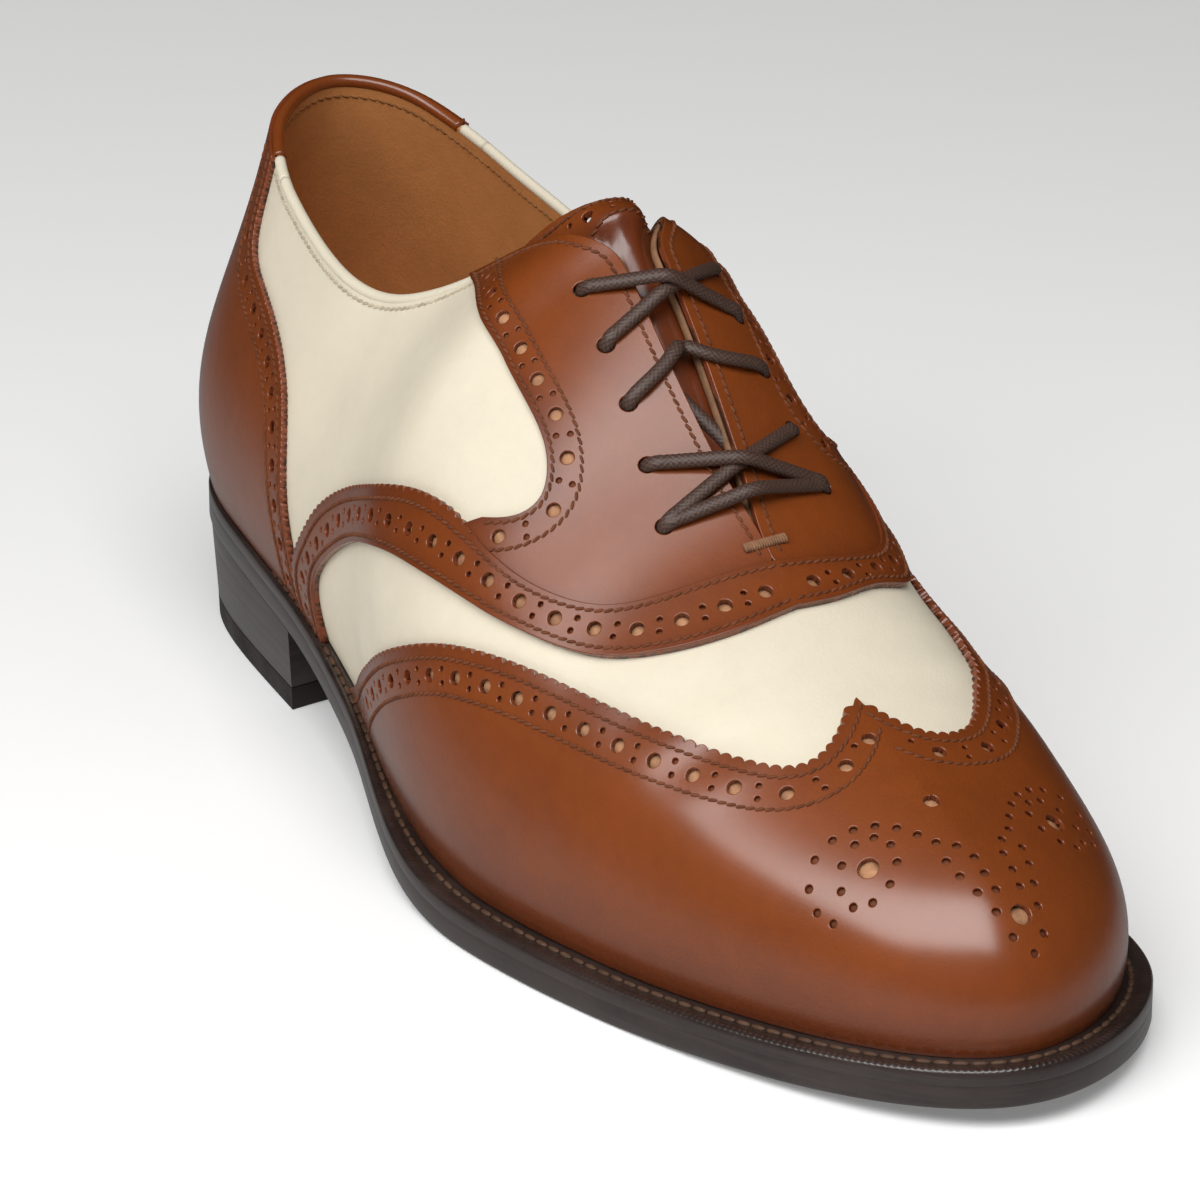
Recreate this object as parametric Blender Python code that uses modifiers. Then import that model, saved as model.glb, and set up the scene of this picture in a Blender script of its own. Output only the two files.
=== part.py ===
"""Wingtip brogue, right shoe, laced: one hollow upper with its leather overlays on a welted sole.

The upper is drawn on a last.  A place on it is a turn and a rise: turn 0 is the middle of the heel,
1 the middle of the toe, 0..1 the outer side and 1..2 the inner side; rise 0 is the feather line above
the welt and 1 the top edge, which is collar, facing top, throat and, past the throat, the ridge of the
vamp.  Frame: +X to the toe, +Y to the wearer's left, +Z up, floor at z = 0, origin under the middle of
the shoe's box.  The tables count x from the back of the sole and y from the middle of the heel.
"""
import math

import bmesh
import bpy
import numpy as np

MM = 0.001

# Driving sizes, in mm.
SOLE_LENGTH = 305.0
SOLE_EDGE = 8.0
OUTSOLE_THICKNESS = 4.7
WELT_THICKNESS = 3.0
HEEL_BREAST = 76.0
HEEL_HOLLOW = 3.0
HEEL_TAPER = 0.965
HEEL_INSET = 0.4
TOP_PIECE_THICKNESS = 5.0
TOP_PIECE_TAPER = 0.995
WELT_INSET = 0.2
INSOLE_THICKNESS = 2.6
UPPER_WALL = 1.6
OVERLAY_THICKNESS = 1.2
TONGUE_THICKNESS = 1.6
LACE_DIAMETER = 2.6
SEAT_GAP = 0.3
OVERLAY_GAP = 0.45
TONGUE_DEPTH = UPPER_WALL + 0.9

# Sole outline: half widths at shares of the length, and the roundness of heel and toe.
SOLE_COLUMNS = ("share", "outer", "inner")
SOLE = (
    (0.13, 31.6, 33.0),
    (0.25, 36.0, 31.8),
    (0.40, 43.5, 29.5),
    (0.55, 56.0, 37.0),
    (0.68, 54.0, 46.5),
    (0.78, 46.5, 49.0),
    (0.90, 32.5, 42.0),
)
HEEL_ROUND = 67.8
TOE_ROUND = 61.5
TOE_SWING = 4.7

# Height of the sole's underside: heel seat, arch, flat tread and toe spring.
BED_COLUMNS = ("share", "height")
BED = (
    (0.00, 22.0),
    (0.12, 21.3),
    (0.25, 18.5),
    (0.36, 11.5),
    (0.48, 4.9),
    (0.62, 0.0),
    (0.75, 0.0),
    (0.88, 1.4),
    (1.00, 4.5),
)

# Width of welt that shows outside the upper.
WELT_COLUMNS = ("share", "width")
WELT = ((0.0, 2.0), (0.25, 2.5), (0.42, 4.0), (0.60, 7.3), (1.0, 7.3))
WELT_UNDER_UPPER = 6.0
FILLER_INSET = 2.5

# Top edge of the upper on either side of the middle line; the throat ends on a line of cells.
THROAT_END = 0.62
CREST_COLUMNS = ("turn", "along", "across", "height")
CREST = (
    (0.000, 15.5, 0.0, 113.0),
    (0.060, 19.5, 10.5, 111.7),
    (0.120, 27.5, 18.0, 108.3),
    (0.200, 48.0, 24.8, 101.0),
    (0.290, 77.0, 28.0, 94.8),
    (0.360, 98.0, 25.0, 95.0),
    (0.410, 117.5, 19.0, 104.0),
    (0.445, 132.5, 14.0, 113.5),
    (0.475, 145.0, 9.5, 119.5),
    (0.505, 154.5, 4.3, 117.0),
    (0.550, 173.0, 3.5, 102.5),
    (0.585, 189.5, 2.2, 88.3),
    (THROAT_END, 205.0, 0.0, 75.7),
    (0.670, 217.5, 0.0, 67.6),
    (0.730, 229.5, 0.0, 61.2),
    (0.800, 241.0, 0.0, 55.9),
    (0.900, 254.5, 0.0, 50.7),
    (1.000, 262.5, 0.0, 48.0),
)

MIDDLE_COLUMNS = ("along", "across")
MIDDLE = ((0.0, 5.0), (100.0, 4.6), (150.0, 3.5), (200.0, 2.2), (262.0, 2.8))

# Wall from feather line to top edge: lean outwards at the welt, reach of the two curve handles
# and slope at the top edge, in degrees below level.
WALL_COLUMNS = ("turn", "bulge", "low_reach", "high_reach", "slope")
WALL_OUTER = (
    (0.00, 14.0, 0.40, 0.50, 79.0),
    (0.12, 14.0, 0.39, 0.50, 76.0),
    (0.25, 14.5, 0.41, 0.51, 73.0),
    (0.36, 14.5, 0.42, 0.54, 60.0),
    (0.41, 14.5, 0.43, 0.55, 46.0),
    (0.50, 15.0, 0.49, 0.64, 29.0),
    (0.62, 15.0, 0.56, 0.68, 17.0),
    (0.75, 14.0, 0.56, 0.63, 10.0),
    (0.88, 12.5, 0.58, 0.59, 10.0),
    (1.00, 11.0, 0.59, 0.57, 10.0),
)
WALL_INNER = (
    (0.00, 14.0, 0.40, 0.50, 79.0),
    (0.12, 11.0, 0.40, 0.50, 80.0),
    (0.25, 7.0, 0.41, 0.51, 84.0),
    (0.36, 7.0, 0.42, 0.54, 74.0),
    (0.41, 8.5, 0.43, 0.55, 52.0),
    (0.50, 14.0, 0.52, 0.69, 29.0),
    (0.62, 18.0, 0.66, 0.76, 17.0),
    (0.75, 14.5, 0.58, 0.64, 10.0),
    (0.88, 13.5, 0.59, 0.60, 10.0),
    (1.00, 11.0, 0.59, 0.57, 10.0),
)

# Turns over which the wall's top passes from the sole's direction to the ridge's, and how far behind
# and over what stretch of turn the ridge's own slope is read.
COLLAR_BLEND = (0.38, 0.56)
RIDGE_BLEND = (0.56, 0.66)
RIDGE_BEHIND = 0.03
RIDGE_STRETCH = 0.045

# Seams of the overlays on the outer side; the inner side mirrors them, but for wing edge and strap foot.
SEAM_COLUMNS = ("turn", "rise")
WING_OUTER = (
    (0.415, 0.000),
    (0.474, 0.158),
    (0.523, 0.288),
    (0.572, 0.418),
    (0.618, 0.490),
    (0.672, 0.548),
    (0.719, 0.612),
    (0.748, 0.668),
    (0.770, 0.752),
    (0.782, 0.850),
    (0.786, 0.930),
    (0.784, 1.000),
)
WING_INNER = (
    (0.415, 0.000),
    (0.474, 0.158),
    (0.523, 0.288),
    (0.572, 0.418),
    (0.618, 0.490),
    (0.668, 0.560),
    (0.729, 0.666),
    (0.758, 0.714),
    (0.782, 0.770),
    (0.800, 0.830),
    (0.811, 0.904),
    (0.808, 0.960),
    (0.784, 1.000),
)
STRAP_TOP = (
    (0.352, 0.000),
    (0.354, 0.132),
    (0.371, 0.282),
    (0.394, 0.408),
    (0.430, 0.450),
    (0.468, 0.460),
    (0.521, 0.528),
    (0.580, 0.596),
    (0.603, 0.660),
    (0.621, 0.810),
    (0.630, 1.000),
)
STRAP_FOOT = (
    (0.376, 0.000),
    (0.380, 0.164),
    (0.403, 0.288),
    (0.441, 0.354),
    (0.471, 0.374),
    (0.535, 0.446),
    (0.582, 0.516),
    (0.613, 0.580),
    (0.635, 0.670),
    (0.662, 0.880),
    (0.668, 1.000),
)
STRAP_FOOT_INNER = (
    (0.376, 0.000),
    (0.380, 0.164),
    (0.403, 0.288),
    (0.441, 0.354),
    (0.471, 0.374),
    (0.535, 0.446),
    (0.577, 0.510),
    (0.603, 0.565),
    (0.622, 0.640),
    (0.637, 0.780),
    (0.653, 0.890),
    (0.668, 1.000),
)
FACING_REAR = (
    (0.414, 1.000),
    (0.444, 0.900),
    (0.473, 0.814),
    (0.505, 0.768),
    (0.530, 0.760),
    (0.548, 0.742),
    (0.556, 0.700),
    (0.553, 0.640),
    (0.541, 0.584),
)
COUNTER_FRONT = (
    (0.347, 0.000),
    (0.346, 0.100),
    (0.335, 0.310),
    (0.317, 0.490),
    (0.291, 0.638),
    (0.258, 0.732),
    (0.210, 0.788),
    (0.165, 0.850),
    (0.154, 1.000),
)
OVERLAY_FOOT = 0.02
FACING_TOP = 0.996
SEAM_TURN = 0.0015
SEAM_RISE = 0.005

# Rough length of one whole rise and one whole turn, in mm, to space a seam's points evenly.
RISE_MM = 90.0
TURN_MM = 450.0

# How far the tongue's middle stands forward and up from the line between the facings' edges.
TONGUE_COLUMNS = ("turn", "forward", "up")
TONGUE_LIFT = (
    (0.418, 18.0, 20.0),
    (0.465, 5.0, 8.5),
    (0.500, 0.5, 2.0),
    (0.540, 0.0, 0.5),
    (0.700, 0.0, 0.0),
)
TONGUE_TOP = 0.418
TONGUE_FOOT = 0.665
TONGUE_SIDE = 0.80
ARCH_REACH = 0.5
CROWN_REACH = 0.7

# Eyelets, counted from the top of the throat.
EYELET_COLUMNS = ("turn", "rise")
EYELETS = ((0.506, 0.928), (0.532, 0.918), (0.554, 0.908), (0.575, 0.886), (0.596, 0.850))

# Laces: how far one run is carried over another, in diameters, how far up the throat the middle of
# the third run climbs, and the shares of a run that lie over the throat's two edges.
CROSS_SINK = 0.6
CHEVRON_CLIMB = 0.022
EDGE_SHARES = (0.40, 0.60)

# Fineness of the solids: cells of the upper up to the turn where each stretch ends, and steps.
STRETCH_COLUMNS = ("end", "cells")
STRETCHES = ((0.42, 15), (0.56, 11), (THROAT_END, 3), (1.00, 13))
RISE_CELLS = 10
SEAM_STEPS = 24
OUTLINE_STEPS = 60
BED_CUTS = 20
BED_FIRST_CUT = 14.0
BED_LAST_CUT = 283.0
SEAT_STEPS = 41
BREAST_STEPS = 9
TONGUE_ROWS = 14
TONGUE_ACROSS = 13
TONGUE_SIDE_STEPS = 5
ARCH_STEPS = 8
LACE_STEPS = 10
WELD = 0.05
NORMAL_NUDGE = 0.002
NORMAL_CEILING = 0.985
FLAT_ANGLE = 0.5
SHARP_ANGLE = 40.0


def column(table, names, name):
    """One named column of a table as an array."""
    return np.array([row[names.index(name)] for row in table], dtype=float)


def cubic(knots, values, closed=False):
    """Cubic spline through the knots: natural ends, or closed with a repeating end."""
    knots = np.asarray(knots, dtype=float)
    values = np.asarray(values, dtype=float)
    step = np.diff(knots)
    slope = np.diff(values) / step
    count = len(knots)
    system = np.eye(count)
    bend = np.zeros(count)
    for i in range(1, count - 1):
        system[i, i - 1:i + 2] = step[i - 1], 2 * (step[i - 1] + step[i]), step[i]
        bend[i] = 6 * (slope[i] - slope[i - 1])
    if closed:
        system[0, :2] = 2 * (step[0] + step[-1]), step[0]
        system[0, -2] = step[-1]
        bend[0] = 6 * (slope[0] - slope[-1])
        system[-1, 0] = -1
    moment = np.linalg.solve(system, bend)

    def value(at):
        at = np.asarray(at, dtype=float)
        if closed:
            at = knots[0] + np.mod(at - knots[0], knots[-1] - knots[0])
        i = np.clip(np.searchsorted(knots, at) - 1, 0, count - 2)
        width = step[i]
        before = at - knots[i]
        after = knots[i + 1] - at
        curved = (moment[i] * after ** 3 + moment[i + 1] * before ** 3) / (6 * width)
        left = (values[i] / width - moment[i] * width / 6) * after
        right = (values[i + 1] / width - moment[i + 1] * width / 6) * before
        return curved + left + right

    return value


def steady(knots, values):
    """Monotone cubic through the knots: flat stretches stay flat."""
    knots = np.asarray(knots, dtype=float)
    values = np.asarray(values, dtype=float)
    step = np.diff(knots)
    slope = np.diff(values) / step
    tangent = np.zeros(len(knots))
    tangent[0] = slope[0]
    tangent[-1] = slope[-1]
    for i in range(1, len(knots) - 1):
        if slope[i - 1] * slope[i] > 0:
            first = 2 * step[i] + step[i - 1]
            second = step[i] + 2 * step[i - 1]
            tangent[i] = (first + second) / (first / slope[i - 1] + second / slope[i])

    def value(at):
        at = np.clip(np.asarray(at, dtype=float), knots[0], knots[-1])
        i = np.clip(np.searchsorted(knots, at) - 1, 0, len(knots) - 2)
        t = (at - knots[i]) / step[i]
        start = (1 + 2 * t) * (1 - t) ** 2 * values[i] + t * (1 - t) ** 2 * step[i] * tangent[i]
        end = t * t * (3 - 2 * t) * values[i + 1] - t * t * (1 - t) * step[i] * tangent[i + 1]
        return start + end

    return value


def mirrored(turns, values):
    """Closed spline over turns 0..2, the same on both sides of the toe."""
    turns = np.concatenate([turns, 2 - turns[-2::-1]])
    values = np.concatenate([values, values[-2::-1]])
    return cubic(turns, values, closed=True)


def turn_lines():
    """Turns of the cell lines once round the upper, closer together at the facings."""
    side = [0.0]
    ends = column(STRETCHES, STRETCH_COLUMNS, "end")
    counts = column(STRETCHES, STRETCH_COLUMNS, "cells").astype(int)
    for end, count in zip(ends, counts):
        side += list(np.linspace(side[-1], end, count + 1)[1:])
    side = np.array(side)
    return np.concatenate([side, 2 - side[-2::-1]])


def smooth_step(value, low, high):
    """0 below low, 1 above high, with soft ends."""
    t = np.clip((value - low) / (high - low), 0.0, 1.0)
    return t * t * (3 - 2 * t)


def level(vectors):
    """Plan vectors as space vectors."""
    return np.concatenate([vectors, np.zeros(vectors.shape[:-1] + (1,))], axis=-1)


class Last:
    """The form that sole and upper follow; all results in mm."""

    def __init__(self):
        angle = np.arccos(1 - 2 * column(SOLE, SOLE_COLUMNS, "share"))
        outer = column(SOLE, SOLE_COLUMNS, "outer") / np.sin(angle)
        inner = column(SOLE, SOLE_COLUMNS, "inner") / np.sin(angle)
        knots = np.concatenate([[0], angle, [math.pi], 2 * math.pi - angle[::-1], [2 * math.pi]])
        widths = np.concatenate([[HEEL_ROUND], outer, [TOE_ROUND], inner[::-1], [HEEL_ROUND]])
        self.half_width = cubic(knots, widths, closed=True)
        self.bed_height = steady(column(BED, BED_COLUMNS, "share"), column(BED, BED_COLUMNS, "height"))
        self.welt_width = steady(column(WELT, WELT_COLUMNS, "share"), column(WELT, WELT_COLUMNS, "width"))
        turns = column(CREST, CREST_COLUMNS, "turn")
        self.crest_along = mirrored(turns, column(CREST, CREST_COLUMNS, "along"))
        self.crest_height = mirrored(turns, column(CREST, CREST_COLUMNS, "height"))
        self.crest_across = steady(turns, column(CREST, CREST_COLUMNS, "across"))
        along = column(MIDDLE, MIDDLE_COLUMNS, "along")
        self.middle = cubic(along, column(MIDDLE, MIDDLE_COLUMNS, "across"))
        self.walls = []
        for table in (WALL_OUTER, WALL_INNER):
            turns = column(table, WALL_COLUMNS, "turn")
            wall = {}
            for name in WALL_COLUMNS[1:]:
                wall[name] = mirrored(turns, column(table, WALL_COLUMNS, name))
            self.walls.append(wall)

    def outline(self, turn, inset=0.0):
        """Plan of the sole at a turn, moved inwards by the inset."""
        turn = np.asarray(turn, dtype=float)
        nudge = 1e-5
        points = []
        for angle in (turn - nudge, turn, turn + nudge):
            angle = angle * math.pi
            along = SOLE_LENGTH / 2 * (1 - np.cos(angle))
            across = -self.half_width(angle) * np.sin(angle) + TOE_SWING * (along / SOLE_LENGTH) ** 3
            points.append(np.stack([along, across], axis=-1))
        way = points[2] - points[0]
        way = way / np.linalg.norm(way, axis=-1, keepdims=True)
        outward = np.stack([way[..., 1], -way[..., 0]], axis=-1)
        return points[1] - outward * np.asarray(inset)[..., None], outward

    def underside(self, along):
        return self.bed_height(np.asarray(along) / SOLE_LENGTH)

    def show_of_welt(self, turn):
        return self.welt_width((1 - np.cos(np.asarray(turn) * math.pi)) / 2)

    def feather(self, turn):
        plan, outward = self.outline(turn, self.show_of_welt(turn))
        height = self.underside(plan[..., 0]) + SOLE_EDGE + SEAT_GAP
        return np.concatenate([plan, height[..., None]], axis=-1), outward

    def crest(self, turn):
        turn = np.mod(turn, 2.0)
        inner = turn > 1
        side = np.where(inner, 2 - turn, turn)
        along = self.crest_along(side)
        across = self.middle(along) + np.where(inner, 1, -1) * self.crest_across(side)
        return np.stack([along, across, self.crest_height(side)], axis=-1)

    def surface(self, turn, rise):
        """Outer face of the upper."""
        turn, rise = np.broadcast_arrays(np.mod(turn, 2.0), np.asarray(rise, dtype=float))
        inner = turn > 1
        side = np.where(inner, 2 - turn, turn)
        wall = {}
        for name in WALL_COLUMNS[1:]:
            wall[name] = np.where(inner, self.walls[1][name](side), self.walls[0][name](side))
        foot, outward = self.feather(turn)
        top = self.crest(turn)
        drop = top[..., 2] - foot[..., 2]
        span = foot[..., :2] - top[..., :2]
        width = np.linalg.norm(span, axis=-1)
        # Past the throat the wall leaves the ridge at right angles; at the collar it follows the sole.
        blend = smooth_step(side, *COLLAR_BLEND)[..., None]
        away = outward * (1 - blend) + span / (width[..., None] + 1e-9) * blend
        away = away / np.linalg.norm(away, axis=-1, keepdims=True)
        back = np.clip(side - RIDGE_BEHIND, 0.0, 1 - RIDGE_STRETCH)
        fall = self.crest_height(back) - self.crest_height(back + RIDGE_STRETCH)
        run = self.crest_along(back + RIDGE_STRETCH) - self.crest_along(back)
        ridge_slope = np.arctan(np.clip(fall / run, 0, 2) * away[..., 0])
        on_ridge = smooth_step(side, *RIDGE_BLEND)
        slope = np.radians(wall["slope"]) * (1 - on_ridge) + ridge_slope * on_ridge
        bulge = np.radians(wall["bulge"])
        low = (wall["low_reach"] * drop)[..., None]
        high = (wall["high_reach"] * np.hypot(width, drop * np.sin(slope)))[..., None]
        up = np.array([0.0, 0.0, 1.0])
        low_handle = foot + low * (level(outward) * np.sin(bulge)[..., None] + up * np.cos(bulge)[..., None])
        high_handle = top + high * (level(away) * np.cos(slope)[..., None] - up * np.sin(slope)[..., None])
        t = rise[..., None]
        near = (1 - t) ** 3 * foot + 3 * (1 - t) ** 2 * t * low_handle
        far = 3 * (1 - t) * t * t * high_handle + t ** 3 * top
        return near + far

    def normal(self, turn, rise):
        """Unit normal out of the upper."""
        turn, rise = np.broadcast_arrays(np.asarray(turn, dtype=float), np.asarray(rise, dtype=float))
        rise = np.minimum(rise, NORMAL_CEILING)
        around = self.surface(turn + NORMAL_NUDGE, rise) - self.surface(turn - NORMAL_NUDGE, rise)
        upward = self.surface(turn, rise + NORMAL_NUDGE) - self.surface(turn, rise - NORMAL_NUDGE)
        out = np.cross(around, upward)
        return out / np.linalg.norm(out, axis=-1, keepdims=True)

    def at_depth(self, turn, rise, depth):
        """Place a depth below the outer face, or above it where the depth is negative."""
        return self.surface(turn, rise) - self.normal(turn, rise) * depth

    def on_cells(self, turn, rise, height):
        """Place a height above the upper's flat cells, so that two solids stay parallel."""
        lines = turn_lines()
        turn = np.asarray(turn)
        around = np.mod(turn, 2.0)
        first = np.clip(np.searchsorted(lines, around, side="right") - 1, 0, len(lines) - 2)
        turn_share = (around - lines[first]) / (lines[first + 1] - lines[first])
        low = np.clip(np.floor(rise * RISE_CELLS), 0, RISE_CELLS - 1)
        rise_share = rise * RISE_CELLS - low
        place = 0.0
        for step, turn_weight in ((0, 1 - turn_share), (1, turn_share)):
            for climb, rise_weight in ((0, 1 - rise_share), (1, rise_share)):
                corner = self.at_depth(lines[first + step], (low + climb) / RISE_CELLS, -height)
                place = place + corner * (turn_weight * rise_weight)[..., None]
        return place


LAST = Last()


def clear_scene():
    for item in list(bpy.data.objects):
        bpy.data.objects.remove(item, do_unlink=True)


def make_collection(name):
    collection = bpy.data.collections.new(name)
    bpy.context.scene.collection.children.link(collection)
    return collection


def make_material(name, colour, roughness):
    material = bpy.data.materials.new(name)
    material.use_nodes = True
    shader = material.node_tree.nodes["Principled BSDF"]
    shader.inputs["Base Color"].default_value = (*colour, 1.0)
    shader.inputs["Roughness"].default_value = roughness
    shader.inputs["Metallic"].default_value = 0.0
    return material


def finish_object(name, bm, material, collection):
    """Turn a bmesh in mm into a named object in metres."""
    bmesh.ops.scale(bm, vec=(MM, MM, MM), verts=bm.verts)
    mesh = bpy.data.meshes.new(name)
    bm.to_mesh(mesh)
    bm.free()
    mesh.shade_smooth()
    mesh.set_sharp_from_angle(angle=math.radians(SHARP_ANGLE))
    mesh.materials.append(material)
    item = bpy.data.objects.new(name, mesh)
    collection.objects.link(item)
    return item


def thicken(item, thickness, outward):
    """Give an open sheet its thickness."""
    modifier = item.modifiers.new("Thickness", "SOLIDIFY")
    modifier.thickness = thickness * MM
    modifier.offset = 1.0 if outward else -1.0


def cut_sheet(outlines, first_cuts, second_cuts):
    """Flat sheet with these outlines, cut along straight lines in both directions."""
    bm = bmesh.new()
    edges = []
    for outline in outlines:
        corners = [bm.verts.new((x, y, 0.0)) for x, y in outline]
        edges += [bm.edges.new((a, b)) for a, b in zip(corners, corners[1:] + corners[:1])]
    bmesh.ops.triangle_fill(bm, edges=edges, use_dissolve=False, normal=(0, 0, 1))
    for cuts, axis in ((first_cuts, 0), (second_cuts, 1)):
        normal = [0.0, 0.0, 0.0]
        normal[axis] = 1.0
        for cut in cuts:
            place = [value * cut for value in normal]
            everything = bm.verts[:] + bm.edges[:] + bm.faces[:]
            split = bmesh.ops.bisect_plane(bm, geom=everything, dist=1e-5, plane_co=place, plane_no=normal)
            for element in split["geom_cut"]:
                if isinstance(element, bmesh.types.BMEdge):
                    element.seam = True
    # The fill's own diagonals go, the cut lines stay.
    flat = math.radians(FLAT_ANGLE)
    bmesh.ops.dissolve_limit(bm, angle_limit=flat, verts=bm.verts, edges=bm.edges, delimit={"SEAM"})
    return bm


def lay(bm, place):
    """Move every vertex of a flat sheet to where place puts its two coordinates."""
    flat = np.array([vert.co[:2] for vert in bm.verts])
    for vert, spot in zip(bm.verts, place(flat[:, 0], flat[:, 1])):
        vert.co = spot


def close_solid(bm, shift):
    """Extrude an open sheet by a shift of its vertices into a closed solid."""
    grown = bmesh.ops.extrude_face_region(bm, geom=bm.faces[:])["geom"]
    for vert in [element for element in grown if isinstance(element, bmesh.types.BMVert)]:
        vert.co = shift(vert.co)
    bmesh.ops.recalc_face_normals(bm, faces=bm.faces)


def raise_by(height):
    def shift(spot):
        return spot.x, spot.y, spot.z + height

    return shift


def outline_turns():
    return np.arange(OUTLINE_STEPS) * 2.0 / OUTLINE_STEPS


def sole_plan(inset):
    turns = outline_turns()
    return LAST.outline(turns, np.broadcast_to(inset, turns.shape))[0]


def bed_cuts():
    return np.linspace(BED_FIRST_CUT, BED_LAST_CUT, BED_CUTS)


def on_bed(height):
    """Placement of a flat sheet at a height over the sole's underside."""
    def place(along, across):
        return np.stack([along, across, LAST.underside(along) + height], axis=-1)

    return place


def make_outsole(material, collection):
    bm = cut_sheet([sole_plan(0.0)], bed_cuts(), ())
    lay(bm, on_bed(0.0))
    close_solid(bm, raise_by(OUTSOLE_THICKNESS))
    return finish_object("outsole", bm, material, collection)


def make_welt(material, collection):
    """Ring between the outsole and the upper, flush with the sole's edge."""
    bm = bmesh.new()
    for inset in (WELT_INSET, LAST.show_of_welt(outline_turns()) + WELT_UNDER_UPPER):
        ring = bmesh.ops.create_circle(bm, segments=OUTLINE_STEPS, radius=1.0)["verts"]
        plan = sole_plan(inset)
        height = LAST.underside(plan[:, 0]) + OUTSOLE_THICKNESS + SEAT_GAP
        for vert, spot, level_height in zip(ring, plan, height):
            vert.co = (spot[0], spot[1], level_height)
    bmesh.ops.bridge_loops(bm, edges=bm.edges[:])
    close_solid(bm, raise_by(WELT_THICKNESS))
    return finish_object("welt", bm, material, collection)


def heel_plan(scale):
    """Heel seat: the sole's outline behind the breast, closed by a hollow breast line."""
    turn_at_breast = math.acos(1 - 2 * HEEL_BREAST / SOLE_LENGTH) / math.pi
    turns = np.linspace(-turn_at_breast, turn_at_breast, SEAT_STEPS)
    seat = LAST.outline(turns, np.full(SEAT_STEPS, HEEL_INSET))[0]
    share = np.linspace(0, 1, BREAST_STEPS)[1:-1]
    breast = seat[-1] + (seat[0] - seat[-1]) * share[:, None]
    breast[:, 0] -= HEEL_HOLLOW * 4 * share * (1 - share)
    plan = np.concatenate([seat, breast])
    middle = np.array([HEEL_BREAST / 2, 0.0])
    return middle + (plan - middle) * scale


def heel_block(name, scales, floor, roof, material, collection):
    """Heel piece from its floor height up to a roof, narrowing from the second scale to the first."""
    bm = cut_sheet([heel_plan(scales[1])], [cut for cut in bed_cuts() if cut < HEEL_BREAST], ())
    lay(bm, roof)
    middle = HEEL_BREAST / 2
    ratio = scales[0] / scales[1]

    def shift(spot):
        return middle + (spot.x - middle) * ratio, spot.y * ratio, floor

    close_solid(bm, shift)
    return finish_object(name, bm, material, collection)


def make_heel(stack_material, piece_material, collection):
    under_seat = on_bed(-SEAT_GAP)

    def level_top(along, across):
        return np.stack([along, across, np.full_like(along, TOP_PIECE_THICKNESS)], axis=-1)

    narrow = (HEEL_TAPER * TOP_PIECE_TAPER, HEEL_TAPER)
    floor = TOP_PIECE_THICKNESS + SEAT_GAP
    heel_block("heel_stack", (HEEL_TAPER, 1.0), floor, under_seat, stack_material, collection)
    heel_block("top_piece", narrow, 0.0, level_top, piece_material, collection)


def make_insole(material, collection):
    """Footbed inside the upper; its underside fills the hollow of the welt."""
    rim_inset = UPPER_WALL + 2 * SEAT_GAP
    bm = cut_sheet([sole_plan(LAST.show_of_welt(outline_turns()) + rim_inset)], bed_cuts(), ())
    lay(bm, on_bed(SOLE_EDGE + SEAT_GAP))
    under = bm.faces[:]
    close_solid(bm, raise_by(INSOLE_THICKNESS))
    hollow_inset = WELT_UNDER_UPPER + FILLER_INSET - rim_inset
    bmesh.ops.inset_region(bm, faces=under, thickness=hollow_inset, use_boundary=True, use_even_offset=True)
    filled = bmesh.ops.extrude_face_region(bm, geom=under)["geom"]
    bmesh.ops.delete(bm, geom=under, context="FACES")
    sunk = [element for element in filled if isinstance(element, bmesh.types.BMVert)]
    bmesh.ops.translate(bm, verts=sunk, vec=(0, 0, -WELT_THICKNESS))
    bmesh.ops.recalc_face_normals(bm, faces=bm.faces)
    return finish_object("insole", bm, material, collection)


def make_upper(material, collection):
    """Hollow upper: open at the collar, down the throat and underneath."""
    lines = turn_lines()
    cells = len(lines) - 1
    bm = bmesh.new()
    bmesh.ops.create_grid(bm, x_segments=cells, y_segments=RISE_CELLS, size=1.0)
    lay(bm, lambda x, y: LAST.surface(lines[np.rint((x + 1) / 2 * cells).astype(int)], (y + 1) / 2))
    bmesh.ops.remove_doubles(bm, verts=bm.verts, dist=WELD)
    upper = finish_object("upper", bm, material, collection)
    thicken(upper, UPPER_WALL, outward=False)
    return upper


def seam_line(rows, side=1):
    """Smooth seam through a table's rows; side -1 gives the mirrored seam of the inner side."""
    turns = column(rows, SEAM_COLUMNS, "turn")
    rises = column(rows, SEAM_COLUMNS, "rise")
    strides = np.hypot(np.diff(turns) * TURN_MM, np.diff(rises) * RISE_MM)
    reach = np.concatenate([[0], np.cumsum(strides)])
    steps = np.linspace(0, reach[-1], SEAM_STEPS)
    line = np.stack([cubic(reach, turns)(steps), cubic(reach, rises)(steps)], axis=-1)
    line[:, 1] = np.clip(line[:, 1], OVERLAY_FOOT, 1.0)
    if side < 0:
        line[:, 0] = 2 - line[:, 0]
    return line


def make_overlay(name, patterns, material, collection):
    """Leather panel cut to flat patterns of turn and rise and laid on the upper."""
    lines = turn_lines()
    turn_cuts = np.concatenate([lines[:-1] - 2, lines])
    rise_cuts = np.arange(1, RISE_CELLS) / RISE_CELLS
    low = min(pattern[:, 0].min() for pattern in patterns)
    high = max(pattern[:, 0].max() for pattern in patterns)
    turn_cuts = [cut for cut in turn_cuts if low < cut < high]
    bm = cut_sheet(patterns, turn_cuts, rise_cuts)
    lay(bm, lambda turn, rise: LAST.on_cells(turn, rise, OVERLAY_GAP))
    bmesh.ops.remove_doubles(bm, verts=bm.verts, dist=WELD)
    overlay = finish_object(name, bm, material, collection)
    thicken(overlay, OVERLAY_THICKNESS, outward=True)
    return overlay


def wing_pattern():
    outer = seam_line(WING_OUTER)
    inner = seam_line(WING_INNER, side=-1)
    return np.concatenate([outer, inner[::-1]])


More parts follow.
